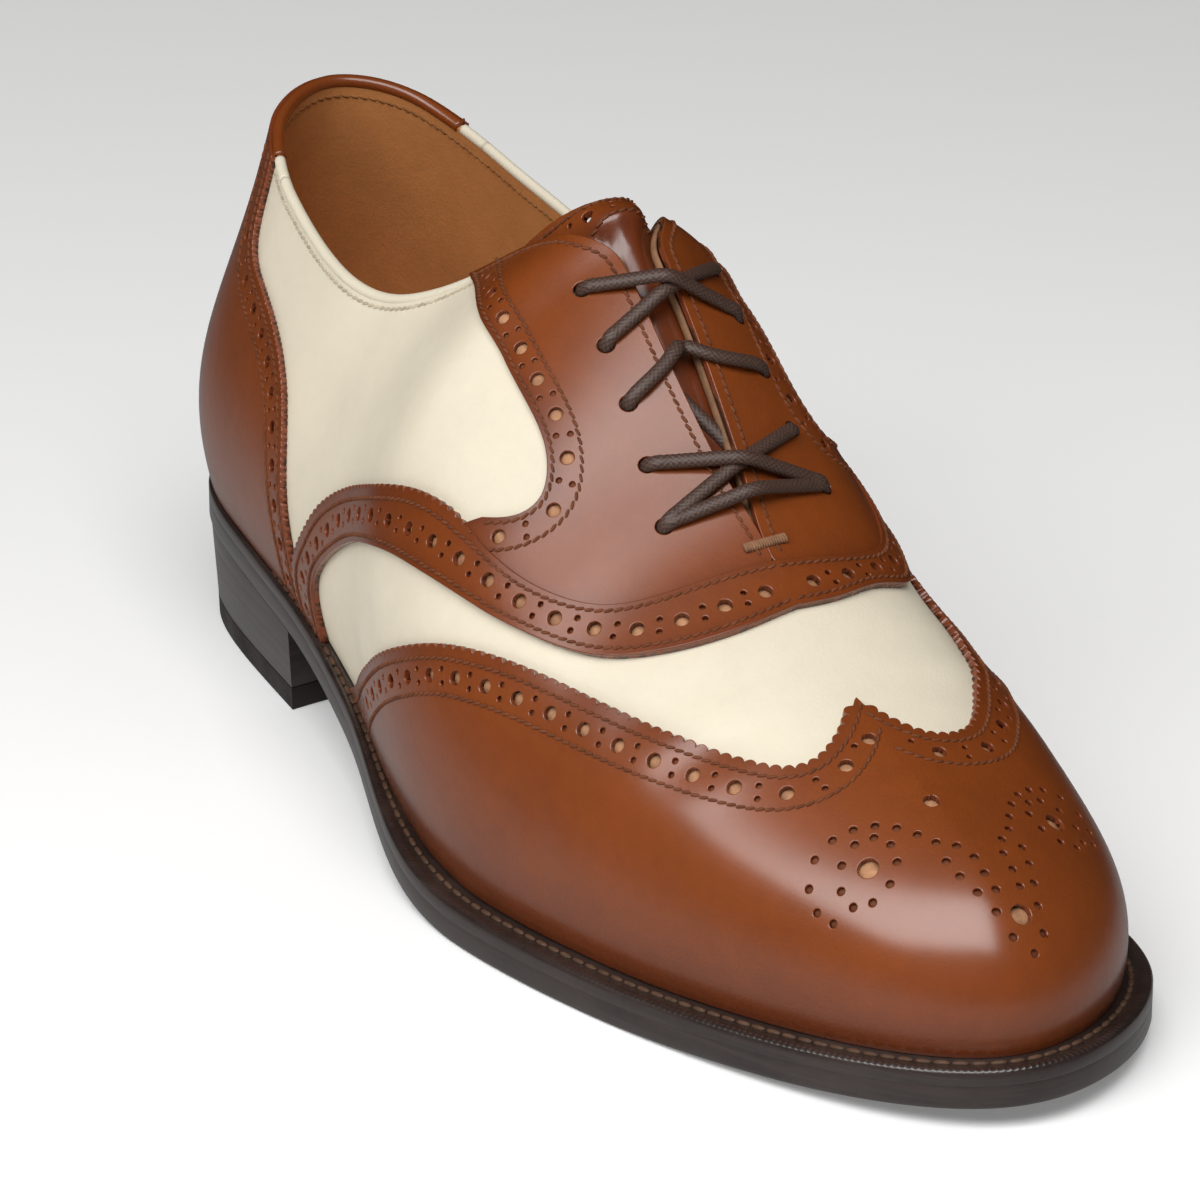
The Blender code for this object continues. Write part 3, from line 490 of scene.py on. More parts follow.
class Last(Face):
    """The form that sole and upper follow; its face is the outside of the upper."""

    scale = (TURN_MM, RISE_MM)
    origin = (1.0, 0.0)
    high = (9.0, NORMAL_CEILING)

    def __init__(self):
        angle = np.arccos(1 - 2 * column(SOLE, SOLE_COLUMNS, "share"))
        outer = column(SOLE, SOLE_COLUMNS, "outer") / np.sin(angle)
        inner = column(SOLE, SOLE_COLUMNS, "inner") / np.sin(angle)
        knots = np.concatenate([[0], angle, [math.pi], 2 * math.pi - angle[::-1], [2 * math.pi]])
        widths = np.concatenate([[HEEL_ROUND], outer, [TOE_ROUND], inner[::-1], [HEEL_ROUND]])
        self.half_width = cubic(knots, widths, closed=True)
        self.bed_height = steady(column(BED, BED_COLUMNS, "share"), column(BED, BED_COLUMNS, "height"))
        self.welt_width = steady(column(WELT, WELT_COLUMNS, "share"), column(WELT, WELT_COLUMNS, "width"))
        turns = column(CREST, CREST_COLUMNS, "turn")
        self.crest_along = mirrored(turns, column(CREST, CREST_COLUMNS, "along"))
        self.crest_height = mirrored(turns, column(CREST, CREST_COLUMNS, "height"))
        self.crest_across = steady(turns, column(CREST, CREST_COLUMNS, "across"))
        along = column(MIDDLE, MIDDLE_COLUMNS, "along")
        self.middle = cubic(along, column(MIDDLE, MIDDLE_COLUMNS, "across"))
        self.walls = []
        for table in (WALL_OUTER, WALL_INNER):
            turns = column(table, WALL_COLUMNS, "turn")
            wall = {}
            for name in WALL_COLUMNS[1:]:
                wall[name] = mirrored(turns, column(table, WALL_COLUMNS, name))
            self.walls.append(wall)

    def outline(self, turn, inset=0.0):
        """Plan of the sole at a turn, moved inwards by the inset."""
        turn = np.asarray(turn, dtype=float)
        nudge = 1e-5
        points = []
        for angle in (turn - nudge, turn, turn + nudge):
            angle = angle * math.pi
            along = SOLE_LENGTH / 2 * (1 - np.cos(angle))
            across = -self.half_width(angle) * np.sin(angle) + TOE_SWING * (along / SOLE_LENGTH) ** 3
            points.append(np.stack([along, across], axis=-1))
        way = unit(points[2] - points[0])
        outward = np.stack([way[..., 1], -way[..., 0]], axis=-1)
        return points[1] - outward * np.asarray(inset)[..., None], outward

    def underside(self, along):
        return self.bed_height(np.asarray(along) / SOLE_LENGTH)

    def show_of_welt(self, turn):
        return self.welt_width((1 - np.cos(np.asarray(turn) * math.pi)) / 2)

    def feather(self, turn):
        plan, outward = self.outline(turn, self.show_of_welt(turn))
        height = self.underside(plan[..., 0]) + SOLE_EDGE + SEAT_GAP
        return np.concatenate([plan, height[..., None]], axis=-1), outward

    def crest(self, turn):
        turn = np.mod(turn, 2.0)
        inner = turn > 1
        side = np.where(inner, 2 - turn, turn)
        along = self.crest_along(side)
        across = self.middle(along) + np.where(inner, 1, -1) * self.crest_across(side)
        return np.stack([along, across, self.crest_height(side)], axis=-1)

    def surface(self, turn, rise):
        """Outer face of the upper, without creases."""
        turn, rise = np.broadcast_arrays(np.mod(turn, 2.0), np.asarray(rise, dtype=float))
        inner = turn > 1
        side = np.where(inner, 2 - turn, turn)
        wall = {}
        for name in WALL_COLUMNS[1:]:
            wall[name] = np.where(inner, self.walls[1][name](side), self.walls[0][name](side))
        foot, outward = self.feather(turn)
        top = self.crest(turn)
        drop = top[..., 2] - foot[..., 2]
        span = foot[..., :2] - top[..., :2]
        width = np.linalg.norm(span, axis=-1)
        # Past the throat the wall leaves the ridge at right angles; at the collar it follows the sole.
        blend = smooth_step(side, *COLLAR_BLEND)[..., None]
        away = unit(outward * (1 - blend) + span / (width[..., None] + 1e-9) * blend)
        back = np.clip(side - RIDGE_BEHIND, 0.0, 1 - RIDGE_STRETCH)
        fall = self.crest_height(back) - self.crest_height(back + RIDGE_STRETCH)
        run = self.crest_along(back + RIDGE_STRETCH) - self.crest_along(back)
        ridge_slope = np.arctan(np.clip(fall / run, 0, 2) * away[..., 0])
        on_ridge = smooth_step(side, *RIDGE_BLEND)
        slope = np.radians(wall["slope"]) * (1 - on_ridge) + ridge_slope * on_ridge
        bulge = np.radians(wall["bulge"])
        low = (wall["low_reach"] * drop)[..., None]
        high = (wall["high_reach"] * np.hypot(width, drop * np.sin(slope)))[..., None]
        up = np.array([0.0, 0.0, 1.0])
        low_handle = foot + low * (level(outward) * np.sin(bulge)[..., None] + up * np.cos(bulge)[..., None])
        high_handle = top + high * (level(away) * np.cos(slope)[..., None] - up * np.sin(slope)[..., None])
        t = rise[..., None]
        near = (1 - t) ** 3 * foot + 3 * (1 - t) ** 2 * t * low_handle
        far = 3 * (1 - t) * t * t * high_handle + t ** 3 * top
        return near + far

    def relief(self, turn, rise):
        """Soft troughs with a low ridge on either side."""
        turn, rise = np.broadcast_arrays(np.mod(turn, 2.0), np.asarray(rise, dtype=float))
        side = np.minimum(turn, 2 - turn)
        here = np.stack([side * TURN_MM, rise * RISE_MM], axis=-1)
        height = np.zeros(turn.shape)
        for crease in CREASES:
            fold = dict(zip(CREASE_COLUMNS, crease))
            start = np.array([fold["turn"] * TURN_MM, fold["rise"] * RISE_MM])
            way = np.array([fold["end_turn"] * TURN_MM, fold["end_rise"] * RISE_MM]) - start
            share = np.clip(dot(here - start, way) / dot(way, way), 0, 1)
            apart = np.linalg.norm(here - start - way * share[..., None], axis=-1) / fold["width"]
            fade = np.sin(math.pi * np.clip(share, 0.02, 0.98))
            height += fold["depth"] * fade * (0.5 * np.exp(-(apart - 1.9) ** 2) - np.exp(-apart ** 2))
        return height

    def above(self, along, across):
        """Turn and rise of the places of the toe that lie over a plan."""
        turn = np.where(across < self.middle(along), 0.9, 1.1)
        rise = np.full(np.shape(along), 0.6)
        for _ in range(30):
            miss = np.stack([along, across], axis=-1) - self.surface(turn, rise)[..., :2]
            along_a, along_b = self.tangents(turn, rise)
            size = along_a[..., 0] * along_b[..., 1] - along_a[..., 1] * along_b[..., 0]
            turn_step = (miss[..., 0] * along_b[..., 1] - miss[..., 1] * along_b[..., 0]) / size
            rise_step = (along_a[..., 0] * miss[..., 1] - along_a[..., 1] * miss[..., 0]) / size
            turn = turn + np.clip(turn_step, -0.05, 0.05)
            rise = np.clip(rise + np.clip(rise_step, -0.05, 0.05), 0.05, NORMAL_CEILING)
        return turn, rise


LAST = Last()


def bezier(start, first, second, end, share):
    t = np.asarray(share)[:, None]
    return (1 - t) ** 3 * start + 3 * (1 - t) ** 2 * t * first + 3 * (1 - t) * t * t * second + t ** 3 * end


def spread(points, count):
    """The same polyline with evenly spaced points."""
    reach = run_along(points)
    steps = np.linspace(0, reach[-1], count)
    return np.stack([np.interp(steps, reach, points[:, k]) for k in range(3)], axis=-1)


class Tongue(Face):
    """Outer face of the tongue: across from the outer to the inner side, and up from foot to top."""

    rows = 60
    columns = 81
    side_steps = 12
    arch_steps = 30
    scale = (62.0, 92.0)
    nudge = 0.01
    low = (0.0, 0.0)
    high = (1.0, 1.0)

    def __init__(self):
        turns = np.linspace(TONGUE_FOOT, TONGUE_TOP, self.rows)
        self.grid = np.array([self.section(turn) for turn in turns])

    def section(self, turn):
        """Tongue across the throat at one turn: under both facings and arched between them."""
        rises = np.linspace(TONGUE_SIDE, 1.0, self.side_steps)
        outer = LAST.surface(turn, rises) - LAST.normal(turn, rises) * TONGUE_DEPTH
        inner = LAST.surface(2 - turn, rises) - LAST.normal(2 - turn, rises) * TONGUE_DEPTH
        knots = column(TONGUE_LIFT, TONGUE_COLUMNS, "turn")
        forward = float(steady(knots, column(TONGUE_LIFT, TONGUE_COLUMNS, "forward"))(turn))
        lift = float(steady(knots, column(TONGUE_LIFT, TONGUE_COLUMNS, "up"))(turn))
        middle = (outer[-1] + inner[-1]) / 2 + np.array([forward, 0.0, lift])
        half = np.linalg.norm(outer[-1] - inner[-1]) / 2
        level_way = np.array([0.0, 1.0, 0.0])
        arch = []
        for edge, sign in ((outer, 1), (inner, -1)):
            way = unit(edge[-1] - edge[-2])
            first = edge[-1] + way * half * ARCH_REACH
            second = middle - level_way * sign * half * CROWN_REACH
            arch.append(bezier(edge[-1], first, second, middle, np.linspace(0, 1, self.arch_steps)[1:]))
        line = np.concatenate([outer, arch[0], arch[1][::-1][1:], inner[::-1]])
        return spread(line, self.columns)

    def surface(self, a, b):
        a, b = np.broadcast_arrays(np.asarray(a, dtype=float), np.asarray(b, dtype=float))
        across = np.clip(a, 0, 1) * (self.columns - 1)
        up = np.clip(b, 0, 1) * (self.rows - 1)
        i = np.clip(np.floor(up).astype(int), 0, self.rows - 2)
        j = np.clip(np.floor(across).astype(int), 0, self.columns - 2)
        v = (up - i)[..., None]
        w = (across - j)[..., None]
        low = self.grid[i, j] * (1 - w) + self.grid[i, j + 1] * w
        high = self.grid[i + 1, j] * (1 - w) + self.grid[i + 1, j + 1] * w
        return low * (1 - v) + high * v


class Seam:
    """A smooth line on a face, measured in mm along it; offsets go to its inner side."""

    def __init__(self, face, line, inward):
        self.face = face
        self.line = line
        self.inward = inward
        self.reach = run_along(face.surface(line[:, 0], line[:, 1]))
        self.length = self.reach[-1]

    def on_line(self, run):
        return np.interp(run, self.reach, self.line[:, 0]), np.interp(run, self.reach, self.line[:, 1])

    def way(self, run):
        """Direction of the seam in space."""
        before = self.face.surface(*self.on_line(run - 0.4))
        after = self.face.surface(*self.on_line(run + 0.4))
        return unit(after - before)

    def at(self, run, offset=0.0):
        """Coordinates at runs along the seam, moved inwards."""
        run = np.asarray(run, dtype=float)
        a, b = self.on_line(run)
        side = np.cross(self.face.normal(a, b), self.way(run)) * self.inward
        move_a, move_b = self.face.slide(a, b, side)
        return a + move_a * offset, b + move_b * offset


def table_line(rows, side=1, steps=500):
    """Smooth seam through a table's rows; side -1 gives the mirrored seam of the inner side."""
    turns = column(rows, SEAM_COLUMNS, "turn")
    rises = column(rows, SEAM_COLUMNS, "rise")
    strides = np.hypot(np.diff(turns) * TURN_MM, np.diff(rises) * RISE_MM)
    reach = np.concatenate([[0], np.cumsum(strides)])
    at = np.linspace(0, reach[-1], steps)
    line = np.stack([cubic(reach, turns)(at), cubic(reach, rises)(at)], axis=-1)
    line[:, 1] = np.clip(line[:, 1], FOOT_RISE, 1.0)
    if side < 0:
        line[:, 0] = 2 - line[:, 0]
    return line


def edge_points(seam, start, end, step, gimp=(0.0, 1.0), gimp_end=math.inf, fade=0.01):
    """Cut edge along a seam, plain or gimped up to a run in scallops of a depth and a pitch."""
    depth, pitch = gimp
    runs = np.linspace(start, end, max(int((end - start) / step), 2) + 1)
    depth = depth * np.clip((np.floor(gimp_end / pitch) * pitch - runs) / fade, 0, 1)
    a, b = seam.at(runs, -depth * np.sqrt(np.abs(np.sin(math.pi * runs / pitch))))
    return np.stack([a, np.clip(b, seam.face.low[1] + FOOT_RISE, 1.0)], axis=-1)


def hole(face, a, b, radius, sides):
    """Outline of a round punched hole."""
    angle = np.arange(sides) * 2 * math.pi / sides
    first, second = face.tangents(a, b)
    first = unit(first)
    second = np.cross(unit(np.cross(first, second)), first)
    way = radius * (np.cos(angle)[:, None] * first + np.sin(angle)[:, None] * second)
    move_a, move_b = face.slide(np.full(sides, a), np.full(sides, b), way)
    return np.stack([a + move_a, b + move_b], axis=-1)


def punch(face, spots):
    """Outlines of holes at spots of two coordinates and a radius; one too close to another is left out."""
    kept = np.zeros((0, 4))
    loops = []
    for a, b, radius in spots:
        radius = radius + RIM
        place = face.surface(np.array(a), np.array(b))
        room = np.linalg.norm(kept[:, :3] - place, axis=1) - kept[:, 3] - radius
        if (room > HOLE_APART).all():
            kept = np.vstack([kept, [*place, radius]])
            loops.append(hole(face, a, b, radius, 10 if radius < 1.0 else 18))
    return loops


def brogue_row(seam, offset, sizes, start, end, ceiling=0.965):
    """Places of a row of large holes with a pair of pinholes between each two."""
    pitch = sizes.hole_pitch / MM
    count = int((end - start) // pitch)
    first = start + (end - start - count * pitch) / 2
    spots = []
    for k in range(count + 1):
        run = first + k * pitch
        spots.append((*seam.at(np.array([run]), offset), sizes.large_hole / 2 / MM))
        for aside in (-PIN_APART, PIN_APART):
            between = np.array([run + pitch / 2 + aside * PIN_SLANT])
            spots.append((*seam.at(between, offset + aside), sizes.pin_hole / 2 / MM))
    return [(a[0], b[0], radius) for a, b, radius in spots[:-2] if HOLE_FLOOR < b[0] < ceiling]


RIM = 0.22
HOLE_APART = 0.3
HOLE_FLOOR = 0.03
PIN_APART = 1.3
PIN_SLANT = 0.15
BASE = 0.12
WELD = 0.02


def cut_leather(face, patterns, spacing):
    """Flat sheet cut to patterns, each an outline with its holes."""
    bm = bmesh.new()
    scale = np.array(face.scale)
    for pattern in patterns:
        edges = []
        for loop in pattern:
            corners = [bm.verts.new((x, y, 0.0)) for x, y in loop * scale]
            edges += [bm.edges.new(pair) for pair in zip(corners, corners[1:] + corners[:1])]
        bmesh.ops.triangle_fill(bm, edges=edges, use_dissolve=False, normal=(0, 0, 1))
    outline = np.concatenate([pattern[0] for pattern in patterns]) * scale
    for axis in (0, 1):
        origin = face.origin[axis] * scale[axis]
        normal = Vector((1 - axis, axis, 0))
        first = math.floor((outline[:, axis].min() - origin) / spacing) + 1
        last = math.ceil((outline[:, axis].max() - origin) / spacing)
        for k in range(first, last):
            everything = bm.verts[:] + bm.edges[:] + bm.faces[:]
            place = normal * (origin + k * spacing)
            split = bmesh.ops.bisect_plane(bm, geom=everything, dist=1e-4, plane_co=place, plane_no=normal)
            for element in split["geom_cut"]:
                if isinstance(element, bmesh.types.BMEdge):
                    element.seam = True
    # The fill's own diagonals go, the cut lines stay.
    bmesh.ops.dissolve_limit(bm, angle_limit=0.002, verts=bm.verts, edges=bm.edges, delimit={"SEAM"})
    for edge in bm.edges:
        edge.seam = False
    return bm


def near_outline(face, patterns, places, reach):
    """1 at the cut outline of the patterns, falling to 0 further in."""
    spots = []
    for pattern in patterns:
        loop = np.concatenate([pattern[0], pattern[0][:1]])
        share = np.linspace(0, 1, 12, endpoint=False)[:, None, None]
        dense = (loop[:-1] * (1 - share) + loop[1:] * share).reshape(-1, 2)
        dense = dense[dense[:, 1] < NORMAL_CEILING]
        spots.append(face.place(dense[:, 0], dense[:, 1]))
    spots = np.concatenate(spots)
    tree = kdtree.KDTree(len(spots))
    for i, spot in enumerate(spots):
        tree.insert(spot, i)
    tree.balance()
    return np.array([math.exp(-tree.find(place)[2] / reach) for place in places])


def lay_leather(face, patterns, top, spacing, base=BASE, burnish=None):
    """Leather cut to patterns and laid on a face, with rounded cut edges and an underside."""
    bm = cut_leather(face, patterns, spacing)
    a_layer = bm.verts.layers.float.new("first")
    b_layer = bm.verts.layers.float.new("second")
    flat = np.array([vert.co[:2] for vert in bm.verts]) / np.array(face.scale)
    for vert, spot, (a, b) in zip(bm.verts, face.surface(flat[:, 0], flat[:, 1]), flat):
        vert.co = spot
        vert[a_layer] = a
        vert[b_layer] = b
    bmesh.ops.remove_doubles(bm, verts=bm.verts, dist=WELD)
    bm.verts.ensure_lookup_table()
    bm.verts.index_update()
    a = np.array([vert[a_layer] for vert in bm.verts])
    b = np.array([vert[b_layer] for vert in bm.verts])
    height = top(a, b)
    place = face.place(a, b, height)
    normal = face.shading(a, b)
    dark = near_outline(face, patterns, face.place(a, b), 3.0)
    # The second mask darkens more: towards the welt on wing, strap and counter, and on the tongue painted
    # shade where the facings cover it.
    if burnish:
        dark = np.maximum(dark * 0.6, burnish(a, b))
    out = np.zeros_like(place)
    rim = [edge for edge in bm.edges if edge.is_boundary]
    for edge in rim:
        loop = edge.link_loops[0]
        i = loop.vert.index
        j = loop.link_loop_next.vert.index
        side = unit(np.cross(place[j] - place[i], normal[i] + normal[j]))
        out[i] += side
        out[j] += side
    out = unit(out)
    spot = bm.verts.layers.int.new("spot")
    shade = bm.verts.layers.float_vector.new("shade")
    edge_layer = bm.verts.layers.float.new("edge")
    burnish_and_shade_layer = bm.verts.layers.float.new("burnish")
    for i, vert in enumerate(bm.verts):
        vert[spot] = i
        vert.co = place[i]
        vert[shade] = normal[i]
        vert[burnish_and_shade_layer] = dark[i]
    upside = bm.faces[:]
    for turn in (45.0, 90.0, None):
        grown = bmesh.ops.extrude_edge_only(bm, edges=rim)["geom"]
        rim = [item for item in grown if isinstance(item, bmesh.types.BMEdge) and item.is_boundary]
        ring = [item for item in grown if isinstance(item, bmesh.types.BMVert)]
        lean = math.radians(90.0 if turn is None else turn)
        for vert in ring:
            i = vert[spot]
            drop = height[i] - base if turn is None else RIM * (1 - math.cos(lean))
            vert.co = place[i] + out[i] * RIM * math.sin(lean) - normal[i] * drop
            vert[shade] = normal[i] * math.cos(lean) + out[i] * math.sin(lean)
            vert[edge_layer] = math.sin(lean)
    copied = bmesh.ops.duplicate(bm, geom=upside)["geom"]
    under = [item for item in copied if isinstance(item, bmesh.types.BMVert)]
    for vert in under:
        i = vert[spot]
        vert.co = place[i] + out[i] * RIM - normal[i] * (height[i] - base)
        vert[shade] = -normal[i]
    bmesh.ops.reverse_faces(bm, faces=[item for item in copied if isinstance(item, bmesh.types.BMFace)])
    bmesh.ops.remove_doubles(bm, verts=ring + under, dist=WELD / 4)
    return bm


def frame_shift():
    """From the tables' own counting to the frame, read from the outsole's box."""
    low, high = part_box("outsole")
    plan = LAST.outline(np.linspace(0, 2, 2001), np.zeros(2001))[0]
    middle = (plan[:, 1].min() + plan[:, 1].max()) / 2
    return Vector((low.x / MM, (low.y + high.y) / 2 / MM - middle, low.z / MM))


SHIFT = frame_shift()


def dress(name, mesh, material, replaced=()):
    """A finished mesh in metres as a piece of the shoe."""
    mesh.materials.append(material)
    piece = bpy.data.objects.new(name + "_dressed" if replaced else name, mesh)
    bpy.context.scene.collection.objects.link(piece)
    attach(piece, "root")
    if replaced:
        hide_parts(*replaced)
    return piece


def finish_piece(name, bm, material, replaced=(), sharp=None):
    """Turn a bmesh in mm into a piece, with its own normals where it carries them."""
    bmesh.ops.translate(bm, verts=bm.verts, vec=SHIFT)
    bmesh.ops.scale(bm, vec=(MM, MM, MM), verts=bm.verts)
    mesh = bpy.data.meshes.new(name)
    bm.to_mesh(mesh)
    bm.free()
    mesh.shade_smooth()
    if sharp:
        mesh.set_sharp_from_angle(angle=math.radians(sharp))
    if "shade" in mesh.attributes:
        normals = np.zeros(len(mesh.vertices) * 3)
        mesh.attributes["shade"].data.foreach_get("vector", normals)
        mesh.normals_split_custom_set_from_vertices(unit(normals.reshape(-1, 3)).tolist())
    for extra in ("first", "second", "spot", "shade"):
        if extra in mesh.attributes:
            mesh.attributes.remove(mesh.attributes[extra])
    return dress(name, mesh, material, replaced)


def lay_grid(columns, rows, place, strand=None):
    """Grid of cells laid by a function of the column and row numbers; a second one may mark strands."""
    bm = bmesh.new()
    bmesh.ops.create_grid(bm, x_segments=columns, y_segments=rows, size=1.0)
    flat = np.array([vert.co[:2] for vert in bm.verts])
    i = np.rint((flat[:, 0] + 1) / 2 * columns).astype(int)
    j = np.rint((flat[:, 1] + 1) / 2 * rows).astype(int)
    for vert, spot in zip(bm.verts, place(i, j)):
        vert.co = spot
    if strand:
        layer = bm.verts.layers.float.new("strand")
        for vert, value in zip(bm.verts, strand(i, j)):
            vert[layer] = value
    return bm


def merge_into(bm, other):
    """Add the shapes of another bmesh."""
    mesh = bpy.data.meshes.new("joined")
    other.to_mesh(mesh)
    other.free()
    bm.from_mesh(mesh)
    bpy.data.meshes.remove(mesh)


def stitch_shape():
    """One stitch: a short rounded bar along Z."""
    bm = bmesh.new()
    bmesh.ops.create_uvsphere(bm, u_segments=6, v_segments=5, radius=1.0)
    for vert in bm.verts:
        vert.co.z = math.copysign(abs(vert.co.z) ** 0.7, vert.co.z)
    bm.verts.index_update()
    spots = np.array([vert.co[:] for vert in bm.verts])
    faces = [[vert.index for vert in face.verts] for face in bm.faces]
    bm.free()
    return spots, faces


class Sewing:
    """Stitches gathered into one mesh."""

    def __init__(self):
        self.places = []
        self.axes = []

    def add(self, place, way, normal, length, width, height):
        """Stitches at places, along their ways, lying on a surface with these normals."""
        side = unit(np.cross(normal, way))
        axes = np.stack([side * width / 2, normal * height / 2, way * length / 2], axis=-1)
        self.places.append(place)
        self.axes.append(axes)

    def row(self, seam, offset, height, sizes, start=0.0, end=None, floor=0.02):
        """Row of stitches along a seam."""
        pitch = sizes.stitch_pitch / MM
        end = seam.length if end is None else end
        fine = np.linspace(start, end, ROW_SAMPLES)
        a, b = seam.at(fine, offset)
        reach = run_along(seam.face.place(a, np.clip(b, floor, 1.0), height))
        runs = np.interp(np.arange(pitch / 2, reach[-1], pitch), reach, fine)
        a, b = seam.at(runs, offset)
        keep = (b > floor) & (b < 1.0)
        a = a[keep]
        b = b[keep]
        way = seam.way(runs[keep])
        normal = seam.face.shading(a, b)
        way = unit(way - normal * dot(way, normal)[:, None])
        way = unit(way + np.cross(normal, way) * STITCH_SLANT)
        thread = sizes.thread / MM
        self.add(seam.face.place(a, b, height), way, normal, pitch * 1.02, thread, thread)

    def finish(self, name, material, slot):
        spots, faces = stitch_shape()
        places = np.concatenate(self.places)
        axes = np.concatenate(self.axes)
        verts = np.einsum("nij,vj->nvi", axes, spots) + places[:, None] + np.array(SHIFT)
        count = len(spots)
        lists = [[index + k * count for index in face] for k in range(len(places)) for face in faces]
        mesh = bpy.data.meshes.new(name)
        mesh.from_pydata((verts.reshape(-1, 3) * MM).tolist(), [], lists)
        mesh.shade_smooth()
        return dress(name, mesh, material)


STITCH_SLANT = 0.28
ROW_SAMPLES = 1200


# Shader groups

def new_group(name, inputs, outputs):
    """Empty shader group with named sockets."""
    group = bpy.data.node_groups.new(name, "ShaderNodeTree")
    for kind, label in inputs:
        group.interface.new_socket(name=label, in_out="INPUT", socket_type="NodeSocket" + kind)
    for kind, label in outputs:
        group.interface.new_socket(name=label, in_out="OUTPUT", socket_type="NodeSocket" + kind)
    return group, group.nodes.new("NodeGroupInput"), group.nodes.new("NodeGroupOutput")


def add_node(tree, kind, values=None, **settings):
    """Node with settings and socket values."""
    node = tree.nodes.new("ShaderNode" + kind)
    for name, value in settings.items():
        setattr(node, name, value)
    for name, value in (values or {}).items():
        node.inputs[name].default_value = value
    return node


def maths(tree, operation, first, second):
    """Arithmetic node; each operand is a socket or a number."""
    node = add_node(tree, "Math", operation=operation)
    for socket, operand in zip(node.inputs, (first, second)):
        if isinstance(operand, (int, float)):
            socket.default_value = operand
        else:
            tree.links.new(operand, socket)
    return node.outputs[0]


def ramp(tree, value, low, high, start=0.0, end=1.0):
    """Value carried from one range to another, held inside it."""
    node = add_node(tree, "MapRange", {"From Min": low, "From Max": high, "To Min": start, "To Max": end})
    tree.links.new(value, node.inputs["Value"])
    return node.outputs["Result"]


def mix_colour(tree, share, first, second, blend="MIX"):
    """Mix of two colours; the share is a socket or a number."""
    node = add_node(tree, "Mix", data_type="RGBA", blend_type=blend)
    for socket, operand in ((node.inputs[0], share), (node.inputs[6], first), (node.inputs[7], second)):
        if isinstance(operand, bpy.types.NodeSocket):
            tree.links.new(operand, socket)
        else:
            socket.default_value = operand
    return node.outputs[2]


def noise(tree, vector, scale, detail=3.0, roughness=0.55):
    node = add_node(tree, "TexNoise", {"Detail": detail, "Roughness": roughness})
    tree.links.new(vector, node.inputs["Vector"])
    if isinstance(scale, (int, float)):
        node.inputs["Scale"].default_value = scale
    else:
        tree.links.new(scale, node.inputs["Scale"])
    return node.outputs["Fac"]


def hide_tone_group():
    """Cloudy change from a light to a dark tone, as hand-finished leather has it."""
    sockets = [("Vector", "Vector"), ("Color", "Light"), ("Color", "Dark"), ("Float", "Cloud Scale")]
    group, start, end = new_group("hide_tone", sockets, [("Color", "Color"), ("Float", "Cloud")])
    vector = start.outputs["Vector"]
    wide = noise(group, vector, start.outputs["Cloud Scale"])
    fine = noise(group, vector, maths(group, "MULTIPLY", start.outputs["Cloud Scale"], 9.0), 4.0, 0.65)
    both = maths(group, "ADD", maths(group, "MULTIPLY", wide, 0.7), maths(group, "MULTIPLY", fine, 0.3))
    cloud = ramp(group, both, 0.36, 0.64)
    colour = mix_colour(group, cloud, start.outputs["Light"], start.outputs["Dark"])
    group.links.new(colour, end.inputs["Color"])
    group.links.new(cloud, end.inputs["Cloud"])
    return group


def hide_grain_group():
    """Height of fine leather grain: small cells broken by finer noise."""
    sockets = [("Vector", "Vector"), ("Float", "Cell Scale")]
    group, start, end = new_group("hide_grain", sockets, [("Float", "Height")])
    vector = start.outputs["Vector"]
    cells = add_node(group, "TexVoronoi", feature="SMOOTH_F1")
    cells.inputs["Smoothness"].default_value = 0.6
    group.links.new(vector, cells.inputs["Vector"])
    group.links.new(start.outputs["Cell Scale"], cells.inputs["Scale"])
    fine = noise(group, vector, maths(group, "MULTIPLY", start.outputs["Cell Scale"], 2.3), 3.0, 0.6)
    wide = noise(group, vector, maths(group, "MULTIPLY", start.outputs["Cell Scale"], 0.08), 2.0)
    rough = maths(group, "ADD", maths(group, "MULTIPLY", cells.outputs["Distance"], 0.6), fine)
    height = maths(group, "ADD", rough, maths(group, "MULTIPLY", wide, 1.5))
    group.links.new(height, end.inputs["Height"])
    return group


def cut_edge_group():
    """Colour and shine of places darkened by burnishing and by painted shade, and of bare cut edges, from
    two masks.
    """
    sockets = [("Color", "Hide"), ("Color", "Burnished And Shaded"), ("Color", "Cut"), ("Float", "Burnish And Shade Mask")]
    sockets += [("Float", "Edge Mask"), ("Float", "Cloud")]
    group, start, end = new_group("cut_edge", sockets, [("Color", "Color"), ("Float", "Roughness Gain")])
    cloudy = ramp(group, start.outputs["Cloud"], 0, 1, 0.6, 1)
    uneven = maths(group, "MULTIPLY", start.outputs["Burnish And Shade Mask"], cloudy)
    dark = mix_colour(group, uneven, start.outputs["Hide"], start.outputs["Burnished And Shaded"])
    cut = ramp(group, start.outputs["Edge Mask"], 0.55, 0.95)
    group.links.new(mix_colour(group, cut, dark, start.outputs["Cut"]), end.inputs["Color"])
    group.links.new(maths(group, "MULTIPLY", cut, 0.3), end.inputs["Roughness Gain"])
    return group


def shared_group(name, maker):
    return bpy.data.node_groups.get(name) or maker()


def place_group(tree, group, values, links):
    """Group node with values and links on its named inputs."""
    node = tree.nodes.new("ShaderNodeGroup")
    node.node_tree = group
    for name, value in values.items():
        node.inputs[name].default_value = value
    for name, socket in links.items():
        tree.links.new(socket, node.inputs[name])
    return node


def shine(colour, factor):
    """A colour made lighter or darker, with its alpha."""
    return (*[min(part * factor, 1.0) for part in colour], 1.0)


